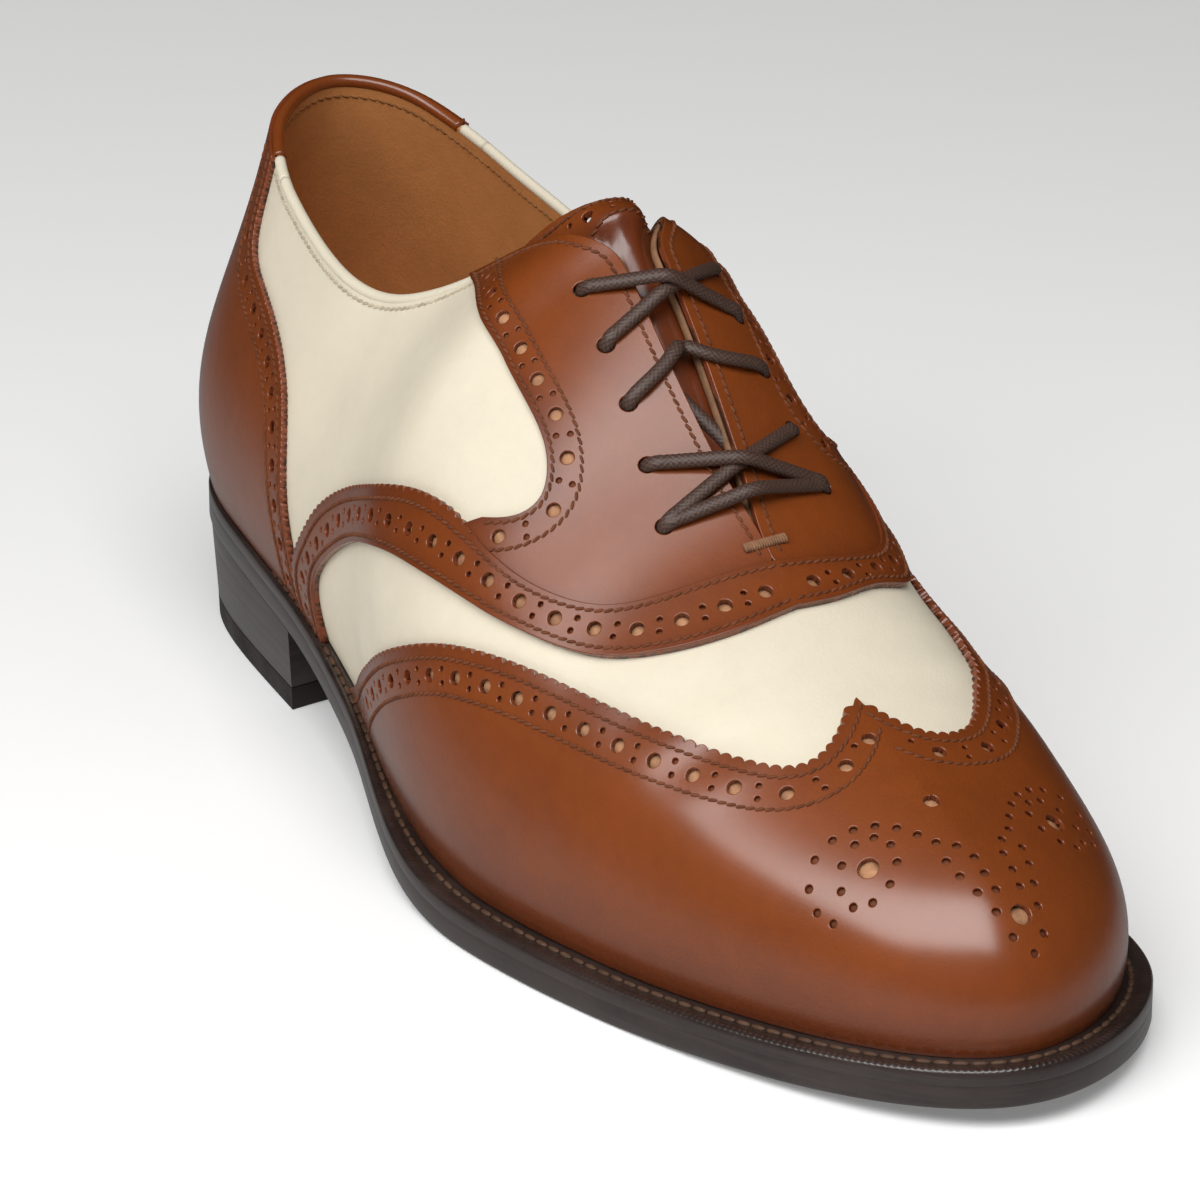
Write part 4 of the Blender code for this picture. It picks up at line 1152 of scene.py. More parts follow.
def new_material(name, roughness, coat=0.0, coat_roughness=0.2, specular=0.5):
    """Material with its shader, its object coordinates and the constants of its finish."""
    material = bpy.data.materials.new(name)
    material.use_nodes = True
    tree = material.node_tree
    shader = tree.nodes["Principled BSDF"]
    shader.inputs["Roughness"].default_value = roughness
    shader.inputs["Coat Weight"].default_value = coat
    shader.inputs["Coat Roughness"].default_value = coat_roughness
    shader.inputs["Specular IOR Level"].default_value = specular
    vector = add_node(tree, "TexCoord").outputs["Object"]
    return material, tree, shader, vector


def bump(tree, shader, height, distance, strength=1.0):
    node = add_node(tree, "Bump", {"Distance": distance, "Strength": strength})
    tree.links.new(height, node.inputs["Height"])
    tree.links.new(node.outputs["Normal"], shader.inputs["Normal"])


def cloudy(tree, vector, light, dark, scale):
    """Node of a cloudy tone between two colours."""
    return place_group(tree, shared_group("hide_tone", hide_tone_group),
                       {"Light": light, "Dark": dark, "Cloud Scale": scale}, {"Vector": vector})


def grained(tree, shader, vector, scale, depth):
    """Fine leather grain on a shader."""
    group = shared_group("hide_grain", hide_grain_group)
    grain = place_group(tree, group, {"Cell Scale": scale}, {"Vector": vector})
    bump(tree, shader, grain.outputs["Height"], depth)


def leather(name, light, dark, burnished, cut, roughness, coat, grain_scale, grain_depth):
    """Finished leather: cloudy tone, borders darkened by burnishing, painted shade where its mask asks, bare
    cut edges and fine grain.
    """
    material, tree, shader, vector = new_material(name, roughness, coat, POLISH_ROUGHNESS, HIDE_SPECULAR)
    shader.inputs["Coat IOR"].default_value = POLISH_IOR
    tone = cloudy(tree, vector, light, dark, HIDE_CLOUDS)
    # This attribute marks places darkened by burnishing and, on the tongue, painted shade where the facings
    # cover it.
    borders = add_node(tree, "Attribute", attribute_name="burnish").outputs["Fac"]
    edges = add_node(tree, "Attribute", attribute_name="edge").outputs["Fac"]
    colours = {"Burnished And Shaded": burnished, "Cut": cut}
    masks = {"Hide": tone.outputs["Color"], "Burnish And Shade Mask": borders, "Edge Mask": edges,
             "Cloud": tone.outputs["Cloud"]}
    finish = place_group(tree, shared_group("cut_edge", cut_edge_group), colours, masks)
    tree.links.new(finish.outputs["Color"], shader.inputs["Base Color"])
    uneven = ramp(tree, tone.outputs["Cloud"], 0.0, 1.0, roughness - 0.04, roughness + 0.06)
    total = maths(tree, "ADD", uneven, finish.outputs["Roughness Gain"])
    tree.links.new(total, shader.inputs["Roughness"])
    grained(tree, shader, vector, grain_scale, grain_depth)
    return material


POLISH_ROUGHNESS = 0.24
POLISH_IOR = 1.6
HIDE_SPECULAR = 0.1
HIDE_CLOUDS = 28.0


def brown_calf():
    colours = bpy.context.scene.brogue_colours
    base = colours.brown
    return bpy.data.materials.get("polished_brown") or leather(
        "polished_brown", shine(base, 1.0), shine(base, 0.8), shine(colours.burnish, 1.0),
        shine(colours.burnish, 1.5), 0.5, 1.0, 1500.0, 0.00009)


def cream_calf():
    base = bpy.context.scene.brogue_colours.cream
    return bpy.data.materials.get("satin_cream") or leather(
        "satin_cream", shine(base, 1.0), shine(base, 0.93), shine(base, 0.85), shine(base, 0.6),
        0.5, 0.15, 1300.0, 0.00005)


def lining_leather():
    base = bpy.context.scene.brogue_colours.lining
    return bpy.data.materials.get("plain_lining") or leather(
        "plain_lining", shine(base, 1.0), shine(base, 0.8), shine(base, 0.7), shine(base, 1.2),
        0.55, 0.0, 1100.0, 0.00006)


def sole_leather():
    """Stained and waxed sole edge: fine layers along the edge under a polish."""
    base = bpy.context.scene.brogue_colours.sole
    ready = bpy.data.materials.get("waxed_edge")
    if ready:
        return ready
    material, tree, shader, vector = new_material("waxed_edge", 0.34, 0.6, 0.25)
    tone = cloudy(tree, vector, shine(base, 1.25), shine(base, 0.7), 60.0)
    layers = add_node(tree, "Mapping", {"Scale": (20.0, 20.0, 900.0)})
    tree.links.new(vector, layers.inputs["Vector"])
    streak = noise(tree, layers.outputs["Vector"], 1.0, 3.0, 0.6)
    share = ramp(tree, streak, 0.45, 0.7, 0.0, 0.6)
    colour = mix_colour(tree, share, tone.outputs["Color"], shine(base, 1.9))
    tree.links.new(colour, shader.inputs["Base Color"])
    tree.links.new(ramp(tree, streak, 0.3, 0.7, 0.28, 0.44), shader.inputs["Roughness"])
    bump(tree, shader, streak, 0.00006)
    return material


def heel_rubber():
    base = bpy.context.scene.brogue_colours.sole
    ready = bpy.data.materials.get("heel_rubber")
    if ready:
        return ready
    material, tree, shader, vector = new_material("heel_rubber", 0.5)
    tone = cloudy(tree, vector, shine(base, 0.9), shine(base, 0.5), 90.0)
    tree.links.new(tone.outputs["Color"], shader.inputs["Base Color"])
    tree.links.new(ramp(tree, tone.outputs["Cloud"], 0, 1, 0.42, 0.6), shader.inputs["Roughness"])
    grained(tree, shader, vector, 2500.0, 0.00003)
    return material


def thread(name, colour, roughness=0.6):
    """Twisted thread: fine slanting strands."""
    ready = bpy.data.materials.get(name)
    if ready:
        return ready
    material, tree, shader, vector = new_material(name, roughness, specular=0.15)
    tone = cloudy(tree, vector, shine(colour, 1.2), shine(colour, 0.7), 400.0)
    tree.links.new(tone.outputs["Color"], shader.inputs["Base Color"])
    strands = noise(tree, vector, 6000.0, 2.0)
    bump(tree, shader, strands, 0.00005)
    return material


def brown_thread():
    return thread("brown_thread", bpy.context.scene.brogue_colours.brown_thread)


def tan_edge():
    return thread("tan_edge", bpy.context.scene.brogue_colours.tan, 0.5)


def back_holes(name, face, spots):
    """Tan leather at the bottom of the large holes, and in the small ones a higher dark sheet that paints
    the shade of the pinholes.
    """
    spots = np.array(spots)
    wide = spots[:, 2] > PIN_RADIUS
    large = ("", wide, BASE, tan_edge())
    # The small holes get a dark sheet in the brown thread's colour, painted shade at their bottom.
    small = ("_pins", ~wide, PIN_FLOOR, brown_thread())
    for ending, chosen, height, material in (large, small):
        a, b, radius = spots[chosen].T
        way = unit(face.tangents(a, b)[0])
        size = 2 * radius[:, None] + 1.6
        backing = Sewing()
        backing.add(face.place(a, b, height), way, face.normal(a, b), size, size, 0.3)
        backing.finish(name + ending, material, "insole_leather")


PIN_FLOOR = 0.6


def waxed_cord():
    """Braided round lace: strand relief is in the mesh; fibres, wax and painted light are here: shade
    between the strands and sheen on their tops.
    """
    colour = bpy.context.scene.brogue_colours.lace
    ready = bpy.data.materials.get("waxed_braid")
    if ready:
        return ready
    material, tree, shader, vector = new_material("waxed_braid", 0.5, 0.1, 0.35)
    strand = add_node(tree, "Attribute", attribute_name="strand").outputs["Fac"]
    fibre = noise(tree, vector, 3500.0, 3.0, 0.7)
    # Painted shade and sheen: dark between the strands, light on their tops, broken by the fibres.
    share = maths(tree, "MULTIPLY", strand, ramp(tree, fibre, 0.3, 0.7, 0.5, 1.0))
    tone = mix_colour(tree, share, shine(colour, 0.3), shine(colour, 2.3))
    tree.links.new(tone, shader.inputs["Base Color"])
    tree.links.new(ramp(tree, fibre, 0.3, 0.7, 0.42, 0.62), shader.inputs["Roughness"])
    bump(tree, shader, fibre, 0.00006)
    return material


class BrogueSizes(bpy.types.PropertyGroup):
    """Sizes of the finish that a maker would choose."""

    hole_pitch: bpy.props.FloatProperty(
        name="Hole pitch", description="Distance between large holes along a border",
        default=0.0083, min=0.004, unit="LENGTH")
    large_hole: bpy.props.FloatProperty(
        name="Large hole", description="Diameter of the large holes",
        default=0.0027, min=0.001, unit="LENGTH")
    pin_hole: bpy.props.FloatProperty(
        name="Pinhole", description="Diameter of the pinholes", default=0.0011, min=0.0005, unit="LENGTH")
    gimp_pitch: bpy.props.FloatProperty(
        name="Gimping pitch", description="Length of one scallop of a gimped edge",
        default=0.0025, min=0.001, unit="LENGTH")
    gimp_depth: bpy.props.FloatProperty(
        name="Gimping depth", description="Depth of the scallops", default=0.0014, min=0.0, unit="LENGTH")
    stitch_pitch: bpy.props.FloatProperty(
        name="Stitch pitch", description="Length of one stitch with its gap",
        default=0.0019, min=0.001, unit="LENGTH")
    thread: bpy.props.FloatProperty(
        name="Thread", description="Thickness of the upper's thread",
        default=0.0007, min=0.0001, unit="LENGTH")
    lace: bpy.props.FloatProperty(
        name="Lace", description="Diameter of the lace", default=0.0023, min=0.001, unit="LENGTH")
    eyelet: bpy.props.FloatProperty(
        name="Eyelet", description="Diameter of the eyelets", default=0.0034, min=0.001, unit="LENGTH")


class BrogueColours(bpy.types.PropertyGroup):
    """Colours of leather, thread and cord."""

    brown: bpy.props.FloatVectorProperty(
        name="Brown calf", description="Polished tan leather", subtype="COLOR", size=3,
        default=(0.23, 0.051, 0.0075))
    # This colour also paints the shade on the tongue where the facings cover it.
    burnish: bpy.props.FloatVectorProperty(
        name="Burnish", description="Darkened borders of the brown leather", subtype="COLOR", size=3,
        default=(0.12, 0.024, 0.006))
    cream: bpy.props.FloatVectorProperty(
        name="Cream calf", description="Cream leather", subtype="COLOR", size=3, default=(0.74, 0.67, 0.53))
    lining: bpy.props.FloatVectorProperty(
        name="Lining", description="Tan lining leather", subtype="COLOR", size=3, default=(0.58, 0.24, 0.08))
    sole: bpy.props.FloatVectorProperty(
        name="Sole edge", description="Stained edge of sole and heel", subtype="COLOR", size=3,
        default=(0.028, 0.018, 0.015))
    tan: bpy.props.FloatVectorProperty(
        name="Tan", description="Bare leather at cut edges and under holes", subtype="COLOR", size=3,
        default=(0.46, 0.235, 0.125))
    # This colour also paints the shade at the bottom of the pinholes.
    brown_thread: bpy.props.FloatVectorProperty(
        name="Brown thread", description="Thread of the upper", subtype="COLOR", size=3,
        default=(0.16, 0.052, 0.022))
    lace: bpy.props.FloatVectorProperty(
        name="Lace", description="Waxed braid", subtype="COLOR", size=3, default=(0.050, 0.026, 0.018))


class BrogueStage(bpy.types.PropertyGroup):
    """Light, floor and framing."""

    zoom: bpy.props.FloatProperty(
        name="Zoom", description="How much closer than the photo the shoe is framed", default=1.30, min=0.1)
    key: bpy.props.FloatProperty(
        name="Key light", description="Power of the large soft light", default=40.0, min=0.0, unit="POWER")
    fill: bpy.props.FloatProperty(
        name="Fill light", description="Power of the light beside", default=0.2, min=0.0, unit="POWER")
    sky: bpy.props.FloatProperty(
        name="Room light", description="Strength of the even light of the room", default=0.18, min=0.0)
    floor: bpy.props.FloatVectorProperty(
        name="Floor", description="Colour of the floor", subtype="COLOR", size=3, default=(0.84, 0.84, 0.84))


# Heights of the leather layers over the cream upper.
WING_TOP = 1.55
STRAP_HEIGHT = 1.75
FACING_HEIGHT = 1.3
COUNTER_HEIGHT = 1.45
STITCH_RISE = 0.05

# How far inside the edges of the panels their rows of holes and stitches lie.
WING_HOLES = 4.4
WING_ROWS = (1.15, 7.8)
STRAP_ROW = 1.2
FACING_HOLES = 3.6
FACING_ROWS = (0.9, 6.3)
THROAT_ROW = 2.0
COUNTER_HOLES = 4.2
COUNTER_ROWS = (1.15, 7.2)
TONGUE_HOLES = 4.4
TONGUE_ROWS = (1.4, 7.4)
COLLAR_ROW = 2.3
LINING_ROW = 3.2


def flat_top(height):
    def top(a, b):
        return np.full(np.shape(a), height)

    return top


def burnished_foot(turn, rise):
    """Darker towards the welt and, more widely, round the toe."""
    toe = np.exp(-((np.mod(turn, 2.0) - 1) / 0.28) ** 2)
    return np.clip(np.exp(-rise / (0.07 + 0.11 * toe)) * 0.9, 0, 1)


class PieceOperator:
    """What the operators share."""

    bl_options = {"REGISTER", "UNDO"}

    @property
    def sizes(self):
        return bpy.context.scene.brogue_sizes


class BROGUE_OT_sole(PieceOperator, bpy.types.Operator):
    """Welt with its stitching, outsole, heel and insole"""

    bl_idname = "brogue.sole"
    bl_label = "Sole and heel"

    def execute(self, context):
        self.welt()
        self.outsole()
        self.heel()
        self.insole()
        return {"FINISHED"}

    def welt(self):
        """Ring between outsole and upper: wheeled lip, stitched channel and rounded edge."""
        columns = 2400
        turns = np.linspace(0, 2, columns + 1)
        plan = LAST.outline(turns, np.zeros(columns + 1))[0]
        run = run_along(plan)
        pitch = run[-1] / round(run[-1] / WHEEL_PITCH)
        notch = np.clip(np.cos(2 * math.pi * run / pitch), -0.4, 1.0)
        show = LAST.show_of_welt(turns)
        top = OUTSOLE_THICKNESS + SEAT_GAP + WELT_THICKNESS
        foot = OUTSOLE_THICKNESS + 0.02
        ring = ((0.9, foot, 0), (0.02, foot, 0), (0.0, foot + 0.05, 0), (0.0, top - 0.7, 0),
                (0.35, top - 0.2, 0.3), (0.75, top, 1), (1.5, top, 1), (2.0, top - 0.1, 0.5))
        insets = []
        heights = []
        for inset, height, wheel in ring:
            narrow = np.minimum(inset, show * 0.3 + 0.1)
            insets.append(np.where(height < top - 0.5, inset, narrow))
            heights.append(height - wheel * WHEEL_DEPTH * (0.5 - notch / 2))
        channel = ((0.42, -0.45), (0.55, -0.5), (0.68, -0.15), (0.85, -0.05), (1.0, -0.05))
        for share, sink in channel:
            insets.append(np.maximum(show * share, insets[-1] + 0.05))
            heights.append(np.full(columns + 1, top + sink))
        for height in (top - 0.05, foot):
            insets.append(show + WELT_UNDER_UPPER)
            heights.append(np.full(columns + 1, height))
        insets = np.array(insets + insets[:1])
        heights = np.array(heights + heights[:1])

        def place(i, j):
            spots = LAST.outline(turns[i], insets[j, i])[0]
            return np.column_stack([spots, LAST.underside(spots[:, 0]) + heights[j, i]])

        bm = lay_grid(columns, len(insets) - 1, place)
        bmesh.ops.remove_doubles(bm, verts=bm.verts, dist=1e-4)
        bmesh.ops.recalc_face_normals(bm, faces=bm.faces)
        finish_piece("welt", bm, sole_leather(), ("welt",), sharp=50)
        self.welt_stitches(top)

    def welt_stitches(self, top):
        """Lockstitches in the welt's channel, from one side of the heel round the toe to the other."""
        reach = np.linspace(WELT_SEWN, 2 - WELT_SEWN, 3000)
        plan = LAST.outline(reach, LAST.show_of_welt(reach) * 0.55)[0]
        run = run_along(plan)
        at = np.arange(WELT_STITCH, run[-1] - WELT_STITCH, WELT_STITCH)
        turns = np.interp(at, run, reach)

        def spot(turn):
            points = LAST.outline(turn, LAST.show_of_welt(turn) * 0.55)[0]
            return np.column_stack([points, LAST.underside(points[:, 0]) + top - 0.32])

        place = spot(turns)
        way = unit(spot(turns + 0.001) - spot(turns - 0.001))
        up = np.tile([0.0, 0.0, 1.0], (len(place), 1))
        normal = unit(up - way * dot(up, way)[:, None])
        sewing = Sewing()
        sewing.add(place, way, normal, WELT_STITCH * 0.92, 1.35, 1.0)
        sewing.finish("welt_stitches", thread("welt_thread", (0.10, 0.055, 0.035), 0.4), "sole_edge")

    def slab(self, profile, half):
        """Closed slab of the sole's plan: a band through insets and heights, and two caps."""
        turns = np.linspace(0, 2, 2 * half + 1)
        insets = np.array([row[0] for row in profile])
        heights = np.array([row[1] for row in profile])

        def band(i, j):
            spots = LAST.outline(turns[i], insets[j] + np.zeros(len(i)))[0]
            return np.column_stack([spots, LAST.underside(spots[:, 0]) + heights[j]])

        bm = lay_grid(2 * half, len(profile) - 1, band)
        across = 16
        for inset, height in (profile[0], profile[-1]):
            def cap(i, j):
                first = LAST.outline(turns[i], np.full(len(i), inset))[0]
                second = LAST.outline(2 - turns[i], np.full(len(i), inset))[0]
                spots = first + (second - first) * (j / across)[:, None]
                return np.column_stack([spots, LAST.underside(spots[:, 0]) + height])

            merge_into(bm, lay_grid(half, across, cap))
        bmesh.ops.remove_doubles(bm, verts=bm.verts, dist=1e-3)
        bmesh.ops.dissolve_degenerate(bm, dist=1e-3, edges=bm.edges)
        bmesh.ops.recalc_face_normals(bm, faces=bm.faces)
        return bm

    def outsole(self):
        thick = OUTSOLE_THICKNESS
        profile = ((0.2, thick), (0.02, thick), (0.0, thick - 0.05), (0.0, 1.0), (0.2, 0.35), (0.9, 0.0))
        finish_piece("outsole", self.slab(profile, 240), sole_leather(), ("outsole",), sharp=50)

    def insole(self):
        inset = LAST.show_of_welt(0.6) + UPPER_WALL + 0.4
        low = SOLE_EDGE + SEAT_GAP
        high = low + INSOLE_THICKNESS
        profile = ((inset + 0.4, high), (inset, high - 0.4), (inset, low))
        slab = self.slab(profile, 160)
        finish_piece("insole", slab, lining_leather(), ("insole",), sharp=50)

    def heel_plan(self, scale):
        """Heel seat: the sole's outline behind the breast, closed by a hollow breast line."""
        turn_at_breast = math.acos(1 - 2 * HEEL_BREAST / SOLE_LENGTH) / math.pi
        turns = np.linspace(-turn_at_breast, turn_at_breast, 161)
        seat = LAST.outline(turns, np.full(161, HEEL_INSET))[0]
        share = np.linspace(0, 1, 33)[1:-1]
        breast = seat[-1] + (seat[0] - seat[-1]) * share[:, None]
        breast[:, 0] -= HEEL_HOLLOW * 4 * share * (1 - share)
        plan = np.concatenate([seat, breast])
        middle = np.array([HEEL_BREAST / 2, 0.0])
        return middle + (plan - middle) * scale

    def lift(self, floor, roof, low_scale, high_scale, round_edge):
        """One lift of the heel with rounded rims; the roof is a height for each place along."""
        bm = bmesh.new()
        plan = self.heel_plan(low_scale)
        corners = [bm.verts.new((x, y, floor)) for x, y in plan]
        bm.faces.new(corners)
        grown = bmesh.ops.extrude_face_region(bm, geom=bm.faces[:])["geom"]
        ratio = high_scale / low_scale
        middle = HEEL_BREAST / 2
        for vert in [item for item in grown if isinstance(item, bmesh.types.BMVert)]:
            along = middle + (vert.co.x - middle) * ratio
            vert.co = (along, vert.co.y * ratio, roof(along))
        bmesh.ops.recalc_face_normals(bm, faces=bm.faces)
        caps = [face for face in bm.faces if len(face.verts) > 4]
        rims = [edge for face in caps for edge in face.edges]
        bmesh.ops.bevel(bm, geom=rims, offset=round_edge, offset_type="OFFSET", affect="EDGES", segments=2,
                        profile=0.5, material=-1)
        caps = [face for face in bm.faces if len(face.verts) > 4]
        bmesh.ops.triangulate(bm, faces=caps)
        return bm

    def heel(self):
        """Stack, polished so that its layers don't show, and the top piece below it."""
        floor = TOP_PIECE_THICKNESS + 0.1
        stack = self.lift(floor, lambda along: float(LAST.underside(along)) - 0.05, HEEL_TAPER, 1.0, 0.22)
        finish_piece("heel_stack", stack, sole_leather(), ("heel_stack",), sharp=30)
        foot = HEEL_TAPER * TOP_PIECE_TAPER
        piece = self.lift(0.0, lambda along: TOP_PIECE_THICKNESS, foot, HEEL_TAPER, 0.3)
        finish_piece("top_piece", piece, heel_rubber(), ("top_piece",), sharp=30)


WHEEL_PITCH = 1.3
WHEEL_DEPTH = 0.28
WELT_STITCH = 3.4
WELT_SEWN = 0.30


class BROGUE_OT_upper(PieceOperator, bpy.types.Operator):
    """Cream upper, its lining, and the rolled edge of the collar with its stitches"""

    bl_idname = "brogue.upper"
    bl_label = "Upper, lining and collar"

    def execute(self, context):
        self.wall("upper", 260, 44, 0.0, 0.8, cream_calf(), "cream_calf", ("upper",))
        self.wall("lining", 150, 26, 0.82, 0.78, lining_leather(), "insole_leather", ())
        self.collar()
        return {"FINISHED"}

    def wall(self, name, half, rows, depth, thickness, material, slot, replaced):
        """Hollow wall at a depth under the outer face, open at collar, throat and feather line."""
        before = np.linspace(0, THROAT_END, int(half * THROAT_END) + 1)
        after = np.linspace(THROAT_END, 1, half - int(half * THROAT_END) + 1)
        side = np.concatenate([before, after[1:]])
        turns = np.concatenate([side, 2 - side[-2::-1]])
        # Along the throat the wall stays a little below the edge of the facings that cover it.
        sides = np.minimum(turns, 2 - turns)
        covered = smooth_step(sides, FACING_CORNER, FACING_CORNER + 0.03)
        tops = 1 - THROAT_SHY * (covered - smooth_step(sides, 0.60, THROAT_END))

        def place(i, j):
            return LAST.place(turns[i], j / rows * tops[i], -depth)

        bm = lay_grid(len(turns) - 1, rows, place)
        bmesh.ops.remove_doubles(bm, verts=bm.verts, dist=0.03)
        grown = bmesh.ops.solidify(bm, geom=bm.faces[:], thickness=thickness)
        if not grown["geom"]:
            raise RuntimeError("the wall of the upper got no thickness")
        bmesh.ops.recalc_face_normals(bm, faces=bm.faces)
        finish_piece(name, bm, material, replaced, sharp=60)

    def collar(self):
        """Rolled edge: brown round the back, cream along both sides up to the facings."""
        cream = bmesh.new()
        for start, end in ((COUNTER_TOP + 0.003, 0.18), (0.181, FACING_CORNER)):
            for side in (1, -1):
                line = self.rim_line(start * side, end * side)
                merge_into(cream, tube(line, 14, BEAD_RADIUS, BEAD_RADIUS))
        finish_piece("collar_bead", cream, cream_calf())
        thick = BEAD_RADIUS + 0.25
        back = tube(self.rim_line(-COUNTER_TOP, COUNTER_TOP), 14, thick, thick)
        finish_piece("collar_strip", back, brown_calf())
        sewing = Sewing()
        inside = Sewing()
        for side in (1, -1):
            turns = np.linspace(COUNTER_TOP + 0.01, FACING_CORNER + 0.02, 400) * side
            seam = Seam(LAST, np.stack([turns, np.ones(400)], axis=-1), -side)
            sewing.row(seam, COLLAR_ROW, 0.03, self.sizes)
        sewing.finish("collar_stitches", thread("cream_thread", (0.50, 0.43, 0.32)), "cream_calf")
        line = np.stack([np.linspace(-FACING_CORNER, FACING_CORNER, 900), np.ones(900)], axis=-1)
        inside.row(Seam(LAST, line, -1), LINING_ROW, -UPPER_WALL - 0.02, self.sizes)
        for turn in (0.335, -0.335):
            line = np.stack([np.full(300, turn), np.linspace(0.97, 0.35, 300)], axis=-1)
            inside.row(Seam(LAST, line, 1), 0.0, -UPPER_WALL - 0.02, self.sizes)
        colour = shine(bpy.context.scene.brogue_colours.lining, 0.45)[:3]
        inside.finish("lining_stitches", thread("lining_thread", colour), "insole_leather")

    def rim_line(self, start, end):
        turns = np.linspace(start, end, max(int(abs(end - start) * 420), 12))
        return LAST.place(turns, np.full(len(turns), 1.0), -0.55) + np.array([0, 0, BEAD_RISE])


BEAD_RADIUS = 1.15
BEAD_RISE = -0.2
THROAT_SHY = 0.03


def tube(points, sides, wide, thick, across=(0.31, 0.2, 0.93), braid=0.0):
    """Closed cord of an oval section along points; a braid, if wanted, stands in its surface."""
    way = unit(np.gradient(points, axis=0))
    side = np.zeros_like(points)
    side[0] = unit(across - way[0] * dot(np.array(across), way[0]))
    for k in range(1, len(points)):
        side[k] = unit(side[k - 1] - way[k] * dot(side[k - 1], way[k]))
    up = np.cross(way, side)
    run = run_along(points)

    def strand(i, j):
        """1 on top of a strand, 0 between two: strands lie slanting, one set over the other in turn."""
        around = i / sides * BRAID_STRANDS
        along = run[j] / BRAID_PITCH
        first = np.mod(around + along, 1.0)
        second = np.mod(around - along, 1.0)
        over = np.mod(np.floor(around + along) + np.floor(around - along), 2)
        share = np.where(over > 0, first, second)
        return np.sin(math.pi * share)

    def place(i, j):
        angle = 2 * math.pi * i / sides
        lift = 1 + braid * strand(i, j)
        aside = side[j] * (np.cos(angle) * wide * lift)[:, None]
        return points[j] + aside + up[j] * (np.sin(angle) * thick * lift)[:, None]

    bm = lay_grid(sides, len(points) - 1, place, strand if braid else None)
    bmesh.ops.remove_doubles(bm, verts=bm.verts, dist=1e-4)
    ends = [edge for edge in bm.edges if edge.is_boundary]
    bmesh.ops.holes_fill(bm, edges=ends, sides=0)
    bmesh.ops.recalc_face_normals(bm, faces=bm.faces)
    return bm


BRAID_STRANDS = 8
BRAID_PITCH = 1.15


class BROGUE_OT_wing(PieceOperator, bpy.types.Operator):
    """Wing cap with its gimped edge, brogued border and medallion"""

    bl_idname = "brogue.wing"
    bl_label = "Wing cap"

    def execute(self, context):
        sizes = self.sizes
        gimp = (sizes.gimp_depth / MM, sizes.gimp_pitch / MM)
        outer = Seam(LAST, table_line(WING_OUTER), -1)
        inner = Seam(LAST, table_line(WING_INNER, side=-1), 1)
        edges = []
        spots = []
        sewing = Sewing()
        for seam in (outer, inner):
            edges.append(edge_points(seam, 0.0, seam.length, 0.3, gimp, seam.length - 1.5))
            spots += brogue_row(seam, WING_HOLES, sizes, 2.0, seam.length - 5.0, ceiling=0.93)
            for offset in WING_ROWS:
                sewing.row(seam, offset, WING_TOP + STITCH_RISE, sizes)
        outline = np.concatenate([edges[0], edges[1][::-1]])
        spots = [(*PEAK_HOLE, sizes.large_hole / 2 / MM)] + spots + self.medallion()
        pattern = [outline] + punch(LAST, spots) + [self.lone_hole()]
        bm = lay_leather(LAST, [pattern], flat_top(WING_TOP), 2.6, burnish=burnished_foot)
        finish_piece("wing_cap", bm, brown_calf(), ("wing_cap",))
        sewing.finish("wing_stitches", brown_thread(), "brown_calf")
        middle = LAST.above(np.array(LONE_HOLE[:1]), np.array(LONE_HOLE[1:]))
        back_holes("wing_backing", LAST, spots + [(middle[0][0], middle[1][0], sizes.large_hole / 2 / MM)])
        return {"FINISHED"}

    def medallion(self):
        """Holes of the toe's ornament: two scrolls that meet in a tail."""
        spots = [(*TAIL, SCROLL_HOLE), (*TAIL_TIP, PIN_RADIUS)]
        for side in (1, -1):
            spots.append((0.0, SCROLL_ASIDE * side, SCROLL_HOLE))
            spots += [(forward, aside * side, PIN_RADIUS) for forward, aside in MEDALLION]
            for k in range(SCROLL_PINS):
                angle = 2 * math.pi * (k + 0.5) / SCROLL_PINS
                aside = (SCROLL_ASIDE + SCROLL_RADIUS * math.sin(angle)) * side
                spots.append((SCROLL_RADIUS * math.cos(angle), aside, PIN_RADIUS))
        spots = np.array(spots)
        along = MEDALLION_PLACE[0] + spots[:, 0]
        across = MEDALLION_PLACE[1] - spots[:, 1]
        turn, rise = LAST.above(along, across)
        return list(zip(turn, rise, spots[:, 2]))

    def lone_hole(self):
        """Hole at the ridge's end, laid out in plan because turns crowd together there."""
        angle = np.arange(48) * 2 * math.pi / 48
        radius = self.sizes.large_hole / 2 / MM + RIM
        along = LONE_HOLE[0] + radius * np.cos(angle)
        across = LONE_HOLE[1] + radius * np.sin(angle)
        return np.stack(LAST.above(along, across), axis=-1)


